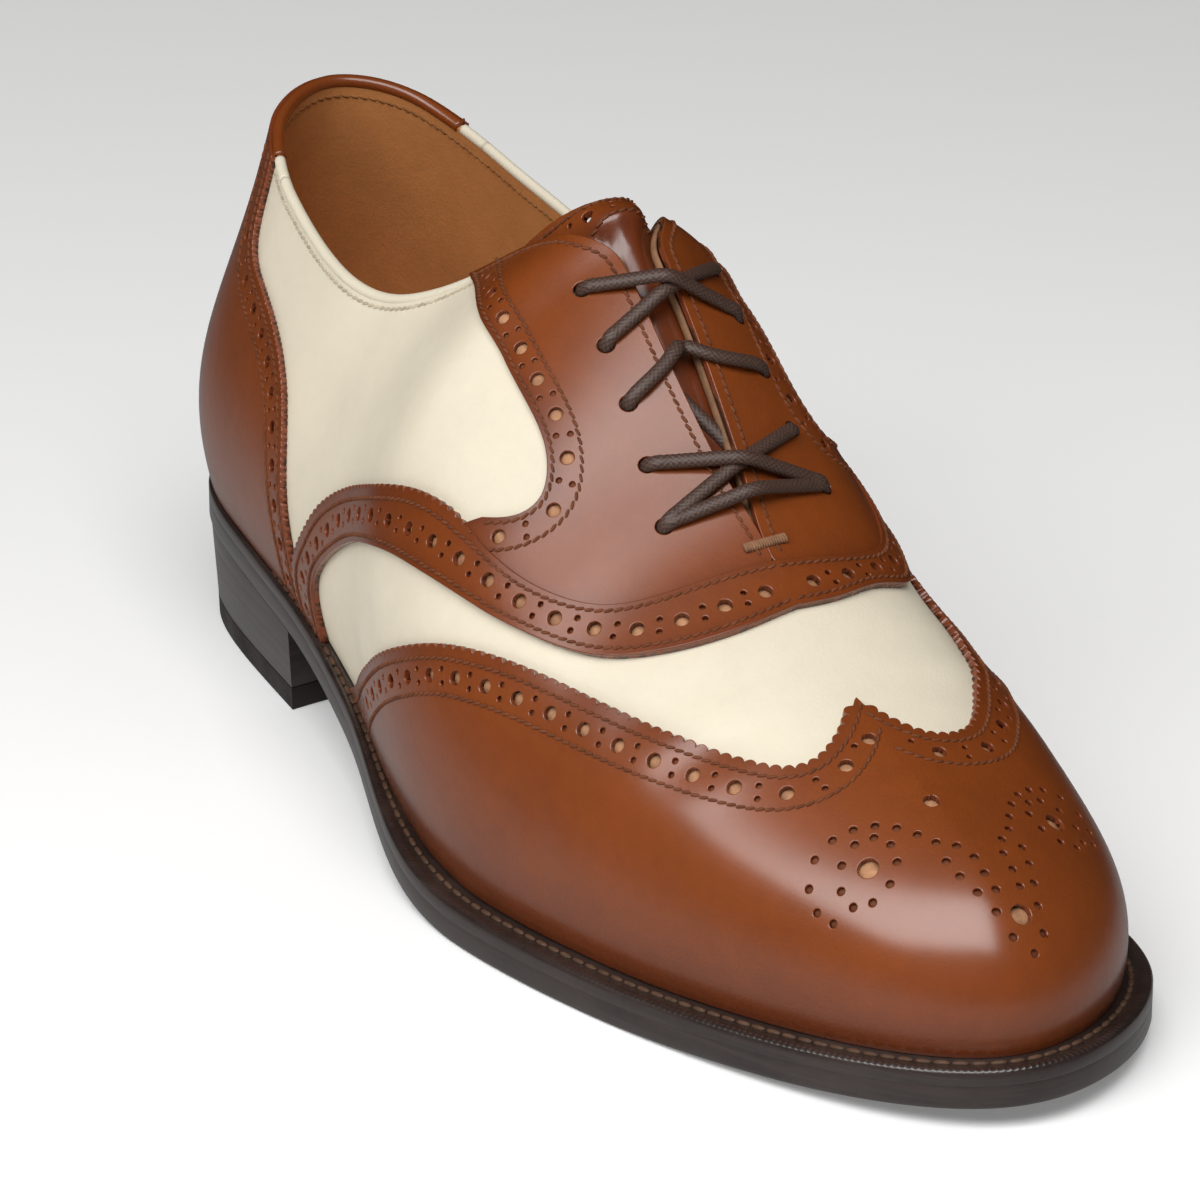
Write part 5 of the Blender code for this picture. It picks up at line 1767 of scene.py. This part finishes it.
class BROGUE_OT_strap(PieceOperator, bpy.types.Operator):
    """Strap over the vamp, from the sole on one side to the sole on the other"""

    bl_idname = "brogue.strap"
    bl_label = "Strap"

    def execute(self, context):
        sizes = self.sizes
        gimp = (sizes.gimp_depth / MM, sizes.gimp_pitch / MM)
        patterns = []
        spots = []
        sewing = Sewing()
        for side in (1, -1):
            top = Seam(LAST, table_line(STRAP_TOP, side), -side)
            foot = Seam(LAST, table_line(STRAP_FOOT if side > 0 else STRAP_FOOT_INNER, side), side)
            middle = Seam(LAST, (top.line + foot.line) / 2, side)
            over_cream = np.abs(top.line[:, 0] - 1) > 1 - STRAP_GIMP_END
            gimp_end = top.reach[over_cream].max()
            outline = np.concatenate([edge_points(top, 0.0, top.length, 0.33, gimp, gimp_end + 4.0, 12.0),
                                      edge_points(foot, 0.0, foot.length, 0.7)[::-1]])
            row = brogue_row(middle, 0.0, sizes, 2.0, middle.length - 2.2, ceiling=0.96)
            patterns.append([outline] + punch(LAST, row))
            spots += row
            for seam in (top, foot):
                sewing.row(seam, STRAP_ROW, STRAP_HEIGHT + STITCH_RISE, sizes)
        bm = lay_leather(LAST, patterns, flat_top(STRAP_HEIGHT), 2.4, burnish=burnished_foot)
        finish_piece("strap", bm, brown_calf(), ("strap",))
        sewing.finish("strap_stitches", brown_thread(), "brown_calf")
        back_holes("strap_backing", LAST, spots)
        return {"FINISHED"}


STRAP_GIMP_END = 0.545


def eyelet(side, number):
    """Turn and rise of an eyelet, counted from the top of a facing."""
    turn, rise = EYELETS[number]
    if side > 0:
        return turn, rise
    return 2 - turn - INNER_EYELETS[0], rise + INNER_EYELETS[1]


class BROGUE_OT_facings(PieceOperator, bpy.types.Operator):
    """Facings with their punched eyelets, brogued rear border and throat stitching"""

    bl_idname = "brogue.facings"
    bl_label = "Facings"

    def execute(self, context):
        sizes = self.sizes
        sewing = Sewing()
        spots = []
        binding = bmesh.new()
        for side, name in ((1, "facing_outer"), (-1, "facing_inner")):
            rear = Seam(LAST, table_line(FACING_REAR, side), side)
            strap = table_line(STRAP_TOP, side)
            past = np.abs(strap[:, 0] - 1) < np.abs(rear.line[-1, 0] - 1) + 0.01
            foot = Seam(LAST, strap[past], side)
            ends = (foot.line[-1, 0], rear.line[0, 0])
            throat = Seam(LAST, np.stack([np.linspace(*ends, 600), np.full(600, 0.999)], axis=-1), side)
            outline = np.concatenate([edge_points(rear, 0.0, rear.length, 0.7), self.tucked(foot),
                                      edge_points(throat, 1.2, throat.length - 0.8, 0.7)])
            eyelets = [eyelet(side, number) for number in range(len(EYELETS))]
            row = brogue_row(rear, FACING_HOLES, sizes, 1.0, rear.length - 1.0)
            holes = punch(LAST, [(*spot, sizes.eyelet / 2 / MM) for spot in eyelets] + row)
            bm = lay_leather(LAST, [[outline] + holes], self.raised(eyelets), 1.6)
            finish_piece(name, bm, brown_calf(), (name,))
            spots += row
            for offset in FACING_ROWS:
                sewing.row(rear, offset, FACING_HEIGHT + STITCH_RISE, sizes)
            sewing.row(throat, THROAT_ROW, FACING_HEIGHT + STITCH_RISE, sizes, 2.0, throat.length - 2.0)
            turn, rise = throat.at(np.linspace(1.0, throat.length - 6.0, 120))
            merge_into(binding, tube(LAST.place(turn, rise, -BINDING_DEPTH), 10, *BINDING))
        colour = shine(bpy.context.scene.brogue_colours.tan, 0.55)[:3]
        dull_tan = thread("tack_thread", colour)
        finish_piece("throat_binding", binding, dull_tan)
        sewing.finish("facing_stitches", brown_thread(), "brown_calf")
        back_holes("facing_backing", LAST, spots)
        self.bar_tack(dull_tan)
        return {"FINISHED"}

    def tucked(self, foot):
        """Lower edge of a facing, under the strap's edge."""
        runs = np.linspace(0, foot.length - 1.2, 90)
        return np.stack(foot.at(runs, -FOOT_TUCK), axis=-1)

    def raised(self, eyelets):
        """Height of the facing, a little proud round the eyelets."""
        centres = LAST.surface(*np.array(eyelets).T)

        def top(a, b):
            apart = np.linalg.norm(LAST.surface(a, b)[:, None] - centres, axis=-1).min(axis=1)
            return FACING_HEIGHT + EYELET_RISE * np.exp(-((apart - 2.1) / 1.0) ** 2)

        return top

    def bar_tack(self, material):
        """Tight bar of thread across the foot of the throat."""
        sewing = Sewing()
        sides = np.array([THROAT_END - 0.001, 2 - THROAT_END + 0.001])
        spot = LAST.place(sides, np.array([0.99, 0.99]), FACING_HEIGHT + 0.15).mean(axis=0)
        normal = unit(LAST.normal(sides, np.full(2, NORMAL_CEILING)).mean(axis=0))
        down = unit(LAST.crest(THROAT_END + 0.02) - LAST.crest(THROAT_END - 0.02))
        across = unit(np.cross(normal, down))
        shares = np.linspace(-TACK_WIDTH / 2, TACK_WIDTH / 2, TACK_WRAPS)
        places = spot + across * shares[:, None]
        sewing.add(places, np.tile(down, (TACK_WRAPS, 1)), np.tile(normal, (TACK_WRAPS, 1)), 2.1, 0.75, 1.5)
        sewing.finish("bar_tack", material, "brown_calf")


BINDING_DEPTH = 1.35
BINDING = (0.95, 0.5)
EYELET_RISE = 0.3
FOOT_TUCK = 1.6
TACK_WIDTH = 8.6
TACK_WRAPS = 17


class BROGUE_OT_counter(PieceOperator, bpy.types.Operator):
    """Counter round the heel, rising to the back of the collar"""

    bl_idname = "brogue.counter"
    bl_label = "Counter"

    def execute(self, context):
        sizes = self.sizes
        gimp = (sizes.gimp_depth / MM * 0.35, sizes.gimp_pitch / MM * 0.6)
        edges = []
        spots = []
        sewing = Sewing()
        for side in (1, -1):
            line = table_line(COUNTER_FRONT) * np.array([side, 1])
            seam = Seam(LAST, line, side)
            edges.append(edge_points(seam, 0.0, seam.length, 0.33, gimp))
            spots += brogue_row(seam, COUNTER_HOLES, sizes, 2.0, seam.length - 14.0)
            for offset in COUNTER_ROWS:
                sewing.row(seam, offset, COUNTER_HEIGHT + STITCH_RISE, sizes)
        outline = np.concatenate([edges[0], edges[1][::-1]])
        pattern = [outline] + punch(LAST, spots)
        bm = lay_leather(LAST, [pattern], flat_top(COUNTER_HEIGHT), 2.6, burnish=burnished_foot)
        finish_piece("counter", bm, brown_calf(), ("counter",))
        sewing.finish("counter_stitches", brown_thread(), "brown_calf")
        back_holes("counter_backing", LAST, spots)
        return {"FINISHED"}


class BROGUE_OT_tongue(PieceOperator, bpy.types.Operator):
    """Tongue with a brogued band below its top edge"""

    bl_idname = "brogue.tongue"
    bl_label = "Tongue"

    def execute(self, context):
        sizes = self.sizes
        face = Tongue()
        corners = np.array([[0.0, 0.0], [1.0, 0.0], [1.0, 0.93], [0.96, 1.0], [0.04, 1.0], [0.0, 0.93]])
        corners = np.clip(corners, 0.004, 0.996)
        line = np.stack([np.linspace(0.98, 0.02, 300), np.full(300, 0.996)], axis=-1)
        edge = Seam(face, line, 1)
        holes = punch(face, brogue_row(edge, TONGUE_HOLES, sizes, 3.0, edge.length - 3.0, ceiling=0.98))
        # The tongue's mask paints shade where the facings cover it.
        bm = lay_leather(face, [[corners] + holes], flat_top(0.0), 1.8, -TONGUE_THICKNESS, self.covered)
        finish_piece("tongue", bm, brown_calf(), ("tongue",))
        sewing = Sewing()
        for offset in TONGUE_ROWS:
            sewing.row(edge, offset, STITCH_RISE, sizes, 2.0, edge.length - 2.0)
        sewing.finish("tongue_stitches", brown_thread(), "brown_calf")
        return {"FINISHED"}

    def covered(self, across, up):
        """Painted shade: dark where the facings cover the tongue."""
        return np.clip((0.86 - up) / 0.1, 0, 1)


class BROGUE_OT_laces(PieceOperator, bpy.types.Operator):
    """Round braided lace through the eyelets, as it crosses the throat"""

    bl_idname = "brogue.laces"
    bl_label = "Laces"

    def execute(self, context):
        self.thick = self.sizes.lace / 2 / MM * LACE_FLAT
        self.wide = self.sizes.lace / 2 / MM / LACE_FLAT
        self.seat = FACING_HEIGHT + self.thick + 0.05
        over = self.thick * OVER_RISE
        turns = np.linspace(SKIN_FROM[0], THROAT_END, 50)
        turns, rises = np.meshgrid(turns, np.linspace(SKIN_FROM[1], NORMAL_CEILING, 16))
        turns = np.concatenate([turns.ravel(), 2 - turns.ravel()])
        rises = np.tile(rises.ravel(), 2)
        self.skin = LAST.surface(turns, rises)
        self.skin_normal = LAST.normal(turns, rises)
        self.piece("lace_cross_top", [self.run((1, 0), (-1, 1), over), self.run((1, 1), (-1, 0), 0.0)])
        self.piece("lace_chevron", [self.dive((1, 2)), self.dive((-1, 2)), self.hidden()])
        low = [self.run((1, 3), (-1, 4), over), self.run((1, 4), (-1, 3), 0.0)]
        self.piece("lace_cross_low", low + [self.run((1, 4), (-1, 4), over)])
        return {"FINISHED"}

    def smooth(self, knots):
        """Smooth line through knots at the spacing of the braid."""
        knots = np.array(knots)
        reach = np.concatenate([[0], np.cumsum(np.linalg.norm(np.diff(knots, axis=0), axis=1) ** 0.6)])
        fine = np.linspace(0, reach[-1], 400)
        line = np.stack([cubic(reach, knots[:, k])(fine) for k in range(3)], axis=-1)
        length = np.linalg.norm(np.diff(line, axis=0), axis=1).sum()
        return spread(line, int(length / LACE_STEP))

    def leave(self, side, number, towards):
        """First knots of a run, out of the eyelet and down on the facing, and the lace's flat way."""
        turn, rise = eyelet(side, number)
        spot = np.array([turn]), np.array([rise])
        centre = LAST.place(*spot)[0]
        normal = LAST.normal(*spot)[0]
        way = towards - centre
        way = unit(way - normal * dot(way, normal))
        knots = [centre - normal * 1.4 - way * 0.7, centre + normal * (FACING_HEIGHT - 0.5) - way * 0.3,
                 centre + normal * self.seat + way * 1.6]
        return knots, np.cross(normal, way)

    def run(self, start, end, lift):
        """Lace from an outer to an inner eyelet, taut over both facings and the throat."""
        spots = LAST.surface(*np.array([eyelet(*start), eyelet(*end)]).T)
        first, across = self.leave(*start, spots[1])
        last = self.leave(*end, spots[0])[0]
        share = np.linspace(0, 1, RUN_POINTS)
        line = first[-1] + (last[-1] - first[-1]) * share[:, None]
        seat = self.seat + lift * np.exp(-((share[1:-1] - 0.5) / OVER_SPREAD) ** 2)
        for _ in range(RUN_STEPS):
            line[1:-1] = (line[:-2] + line[2:]) / 2
            apart = line[1:-1, None] - self.skin
            nearest = np.argmin((apart ** 2).sum(axis=-1), axis=1)
            normal = self.skin_normal[nearest]
            height = dot(line[1:-1] - self.skin[nearest], normal)
            line[1:-1] += normal * np.maximum(seat - height, 0)[:, None]
        return self.smooth(first[:-1] + list(line[::2]) + last[-2::-1]), across

    def dive(self, start):
        """Lace that climbs the throat and goes down between the facings."""
        top = LAST.crest(CHEVRON_TOP)
        other = LAST.crest(2 - CHEVRON_TOP)
        apex = top + (other - top) * (0.44 if start[0] > 0 else 0.62)
        normal = LAST.normal(np.array(CHEVRON_TOP), np.array(NORMAL_CEILING))
        turn = CHEVRON_TOP + CHEVRON_FALL if start[0] > 0 else 2 - CHEVRON_TOP - CHEVRON_FALL
        edge = LAST.place(np.array([turn]), np.array([0.992]), self.seat)[0]
        knots, across = self.leave(*start, edge)
        lift = self.seat if start[0] > 0 else self.seat - self.thick
        return self.smooth(knots + [edge, apex + normal * lift * 0.7, apex - normal * 1.2]), across

    def hidden(self):
        """Lace that shows between the facings on its way underneath."""
        ends = LAST.place(np.array([HIDDEN_FROM, 2 - HIDDEN_TO]), np.array([1.0, 1.0]), -self.thick - 1.0)
        way = unit(ends[1] - ends[0])
        normal = LAST.normal(np.array(HIDDEN_FROM), np.array(NORMAL_CEILING))
        knots = [ends[0] - way * 2.5, ends.mean(axis=0), ends[1] + way * 2.5]
        return self.smooth(knots), np.cross(normal, way)

    def piece(self, name, runs):
        bm = bmesh.new()
        for points, across in runs:
            merge_into(bm, tube(points, LACE_SIDES, self.wide, self.thick, across, BRAID_DEPTH))
        finish_piece(name, bm, waxed_cord(), (name,))


LACE_FLAT = 0.85
LACE_STEP = 0.17
LACE_SIDES = 48
BRAID_DEPTH = 0.10
CHEVRON_TOP = 0.546
CHEVRON_FALL = 0.005
HIDDEN_FROM = 0.562
HIDDEN_TO = 0.577
OVER_RISE = 1.9
OVER_SPREAD = 0.16
SKIN_FROM = (0.47, 0.72)
RUN_POINTS = 33
RUN_STEPS = 400

# Studio light, in metres: a large soft light over the toe, turned about the vertical, and a fill beside it.
KEY_SIZE = (1.0, 2.3)
KEY_PLACE = (0.55, -1.0, 1.2)
KEY_AIM = (0.55, -1.0, 0.0)
KEY_TURN = -17.0
FILL_SIZE = (1.0, 0.8)
FILL_PLACE = (-0.6, -1.3, 0.9)
FILL_AIM = (0.0, 0.0, 0.05)
FLOOR_GLOW = 0.22


class BROGUE_OT_stage(bpy.types.Operator):
    """Floor, studio light and the photo's camera"""

    bl_idname = "brogue.stage"
    bl_label = "Stage"
    bl_options = {"REGISTER", "UNDO"}

    def execute(self, context):
        stage = context.scene.brogue_stage
        self.floor(stage)
        self.light(stage)
        self.camera(stage)
        return {"FINISHED"}

    def floor(self, stage):
        bm = bmesh.new()
        bmesh.ops.create_grid(bm, x_segments=8, y_segments=8, size=6.0)
        mesh = bpy.data.meshes.new("floor")
        bm.to_mesh(mesh)
        bm.free()
        material, tree, shader, vector = new_material("floor", 0.6)
        # Painted reflection: to glossy rays the floor is darkened, a little close by and almost to black
        # further off, so the polish mirrors the floor only close by, and a dim room past it.
        narrow = add_node(tree, "Mapping", {"Scale": (0.35, 1.0, 1.0)})
        tree.links.new(vector, narrow.inputs["Vector"])
        reach = add_node(tree, "VectorMath", operation="LENGTH")
        tree.links.new(narrow.outputs["Vector"], reach.inputs[0])
        dim = ramp(tree, reach.outputs["Value"], 0.09, 0.22, 0.65, 0.98)
        share = maths(tree, "MULTIPLY", add_node(tree, "LightPath").outputs["Is Glossy Ray"], dim)
        colour = mix_colour(tree, share, (*stage.floor, 1.0), (0.0, 0.0, 0.0, 1.0))
        tree.links.new(colour, shader.inputs["Base Color"])
        tree.links.new(colour, shader.inputs["Emission Color"])
        shader.inputs["Emission Strength"].default_value = FLOOR_GLOW
        mesh.materials.append(material)
        floor = bpy.data.objects.new("floor", mesh)
        bpy.context.scene.collection.objects.link(floor)

    def area(self, name, power, size, place, aim, mirrored_in_polish, turn=0.0):
        light = bpy.data.lights.new(name, "AREA")
        light.shape = "RECTANGLE"
        light.size, light.size_y = size
        light.energy = power
        lamp = bpy.data.objects.new(name, light)
        lamp.visible_glossy = mirrored_in_polish
        lamp.location = place
        lamp.rotation_euler = (Vector(aim) - Vector(place)).to_track_quat("-Z", "Y").to_euler()
        lamp.rotation_euler.z += math.radians(turn)
        bpy.context.scene.collection.objects.link(lamp)

    def light(self, stage):
        bpy.context.scene.view_settings.view_transform = "Standard"
        world = bpy.data.worlds.new("room")
        world.use_nodes = True
        background = world.node_tree.nodes["Background"]
        background.inputs["Color"].default_value = (1.0, 0.98, 0.95, 1.0)
        background.inputs["Strength"].default_value = stage.sky
        world.cycles_visibility.glossy = False
        bpy.context.scene.world = world
        self.area("key", stage.key, KEY_SIZE, KEY_PLACE, KEY_AIM, True, KEY_TURN)
        self.area("fill", stage.fill, FILL_SIZE, FILL_PLACE, FILL_AIM, False)

    def camera(self, stage):
        azimuth = math.radians(VIEW_AZIMUTH)
        elevation = math.radians(VIEW_ELEVATION)
        back = Vector((math.sin(azimuth) * math.cos(elevation), -math.cos(azimuth) * math.cos(elevation),
                       math.sin(elevation)))
        place = Vector(VIEW_AIM) + back * VIEW_DISTANCE
        aim = Vector(SHOE_AIM)
        data = bpy.data.cameras.new("camera")
        data.sensor_width = SENSOR
        data.lens = PHOTO_LENS * stage.zoom
        camera = bpy.data.objects.new("camera", data)
        camera.location = (place + SHIFT) * MM
        camera.rotation_euler = (aim - place).to_track_quat("-Z", "Y").to_euler()
        bpy.context.scene.collection.objects.link(camera)
        bpy.context.scene.camera = camera


OPERATORS = (
    BROGUE_OT_stage,
    BROGUE_OT_laces,
    BROGUE_OT_sole,
    BROGUE_OT_upper,
    BROGUE_OT_wing,
    BROGUE_OT_strap,
    BROGUE_OT_facings,
    BROGUE_OT_counter,
    BROGUE_OT_tongue,
)


class BROGUE_PT_panel(bpy.types.Panel):
    """Lists the pieces of the shoe"""

    bl_idname = "BROGUE_PT_panel"
    bl_label = "Wingtip brogue"
    bl_space_type = "VIEW_3D"
    bl_region_type = "UI"
    bl_category = "Brogue"

    def draw(self, context):
        for operator in OPERATORS:
            self.layout.operator(operator.bl_idname)
        for group in (context.scene.brogue_sizes, context.scene.brogue_colours, context.scene.brogue_stage):
            box = self.layout.box()
            for name in group.bl_rna.properties.keys():
                if name not in ("rna_type", "name"):
                    box.prop(group, name)


CLASSES = (BrogueSizes, BrogueColours, BrogueStage, *OPERATORS, BROGUE_PT_panel)


def register():
    for cls in CLASSES:
        bpy.utils.register_class(cls)
    bpy.types.Scene.brogue_sizes = bpy.props.PointerProperty(type=BrogueSizes)
    bpy.types.Scene.brogue_colours = bpy.props.PointerProperty(type=BrogueColours)
    bpy.types.Scene.brogue_stage = bpy.props.PointerProperty(type=BrogueStage)


def unregister():
    del bpy.types.Scene.brogue_stage
    del bpy.types.Scene.brogue_colours
    del bpy.types.Scene.brogue_sizes
    for cls in reversed(CLASSES):
        bpy.utils.unregister_class(cls)


def main():
    register()
    for operator in OPERATORS:
        group, name = operator.bl_idname.split(".")
        getattr(getattr(bpy.ops, group), name)()


if __name__ == "__main__":
    main()
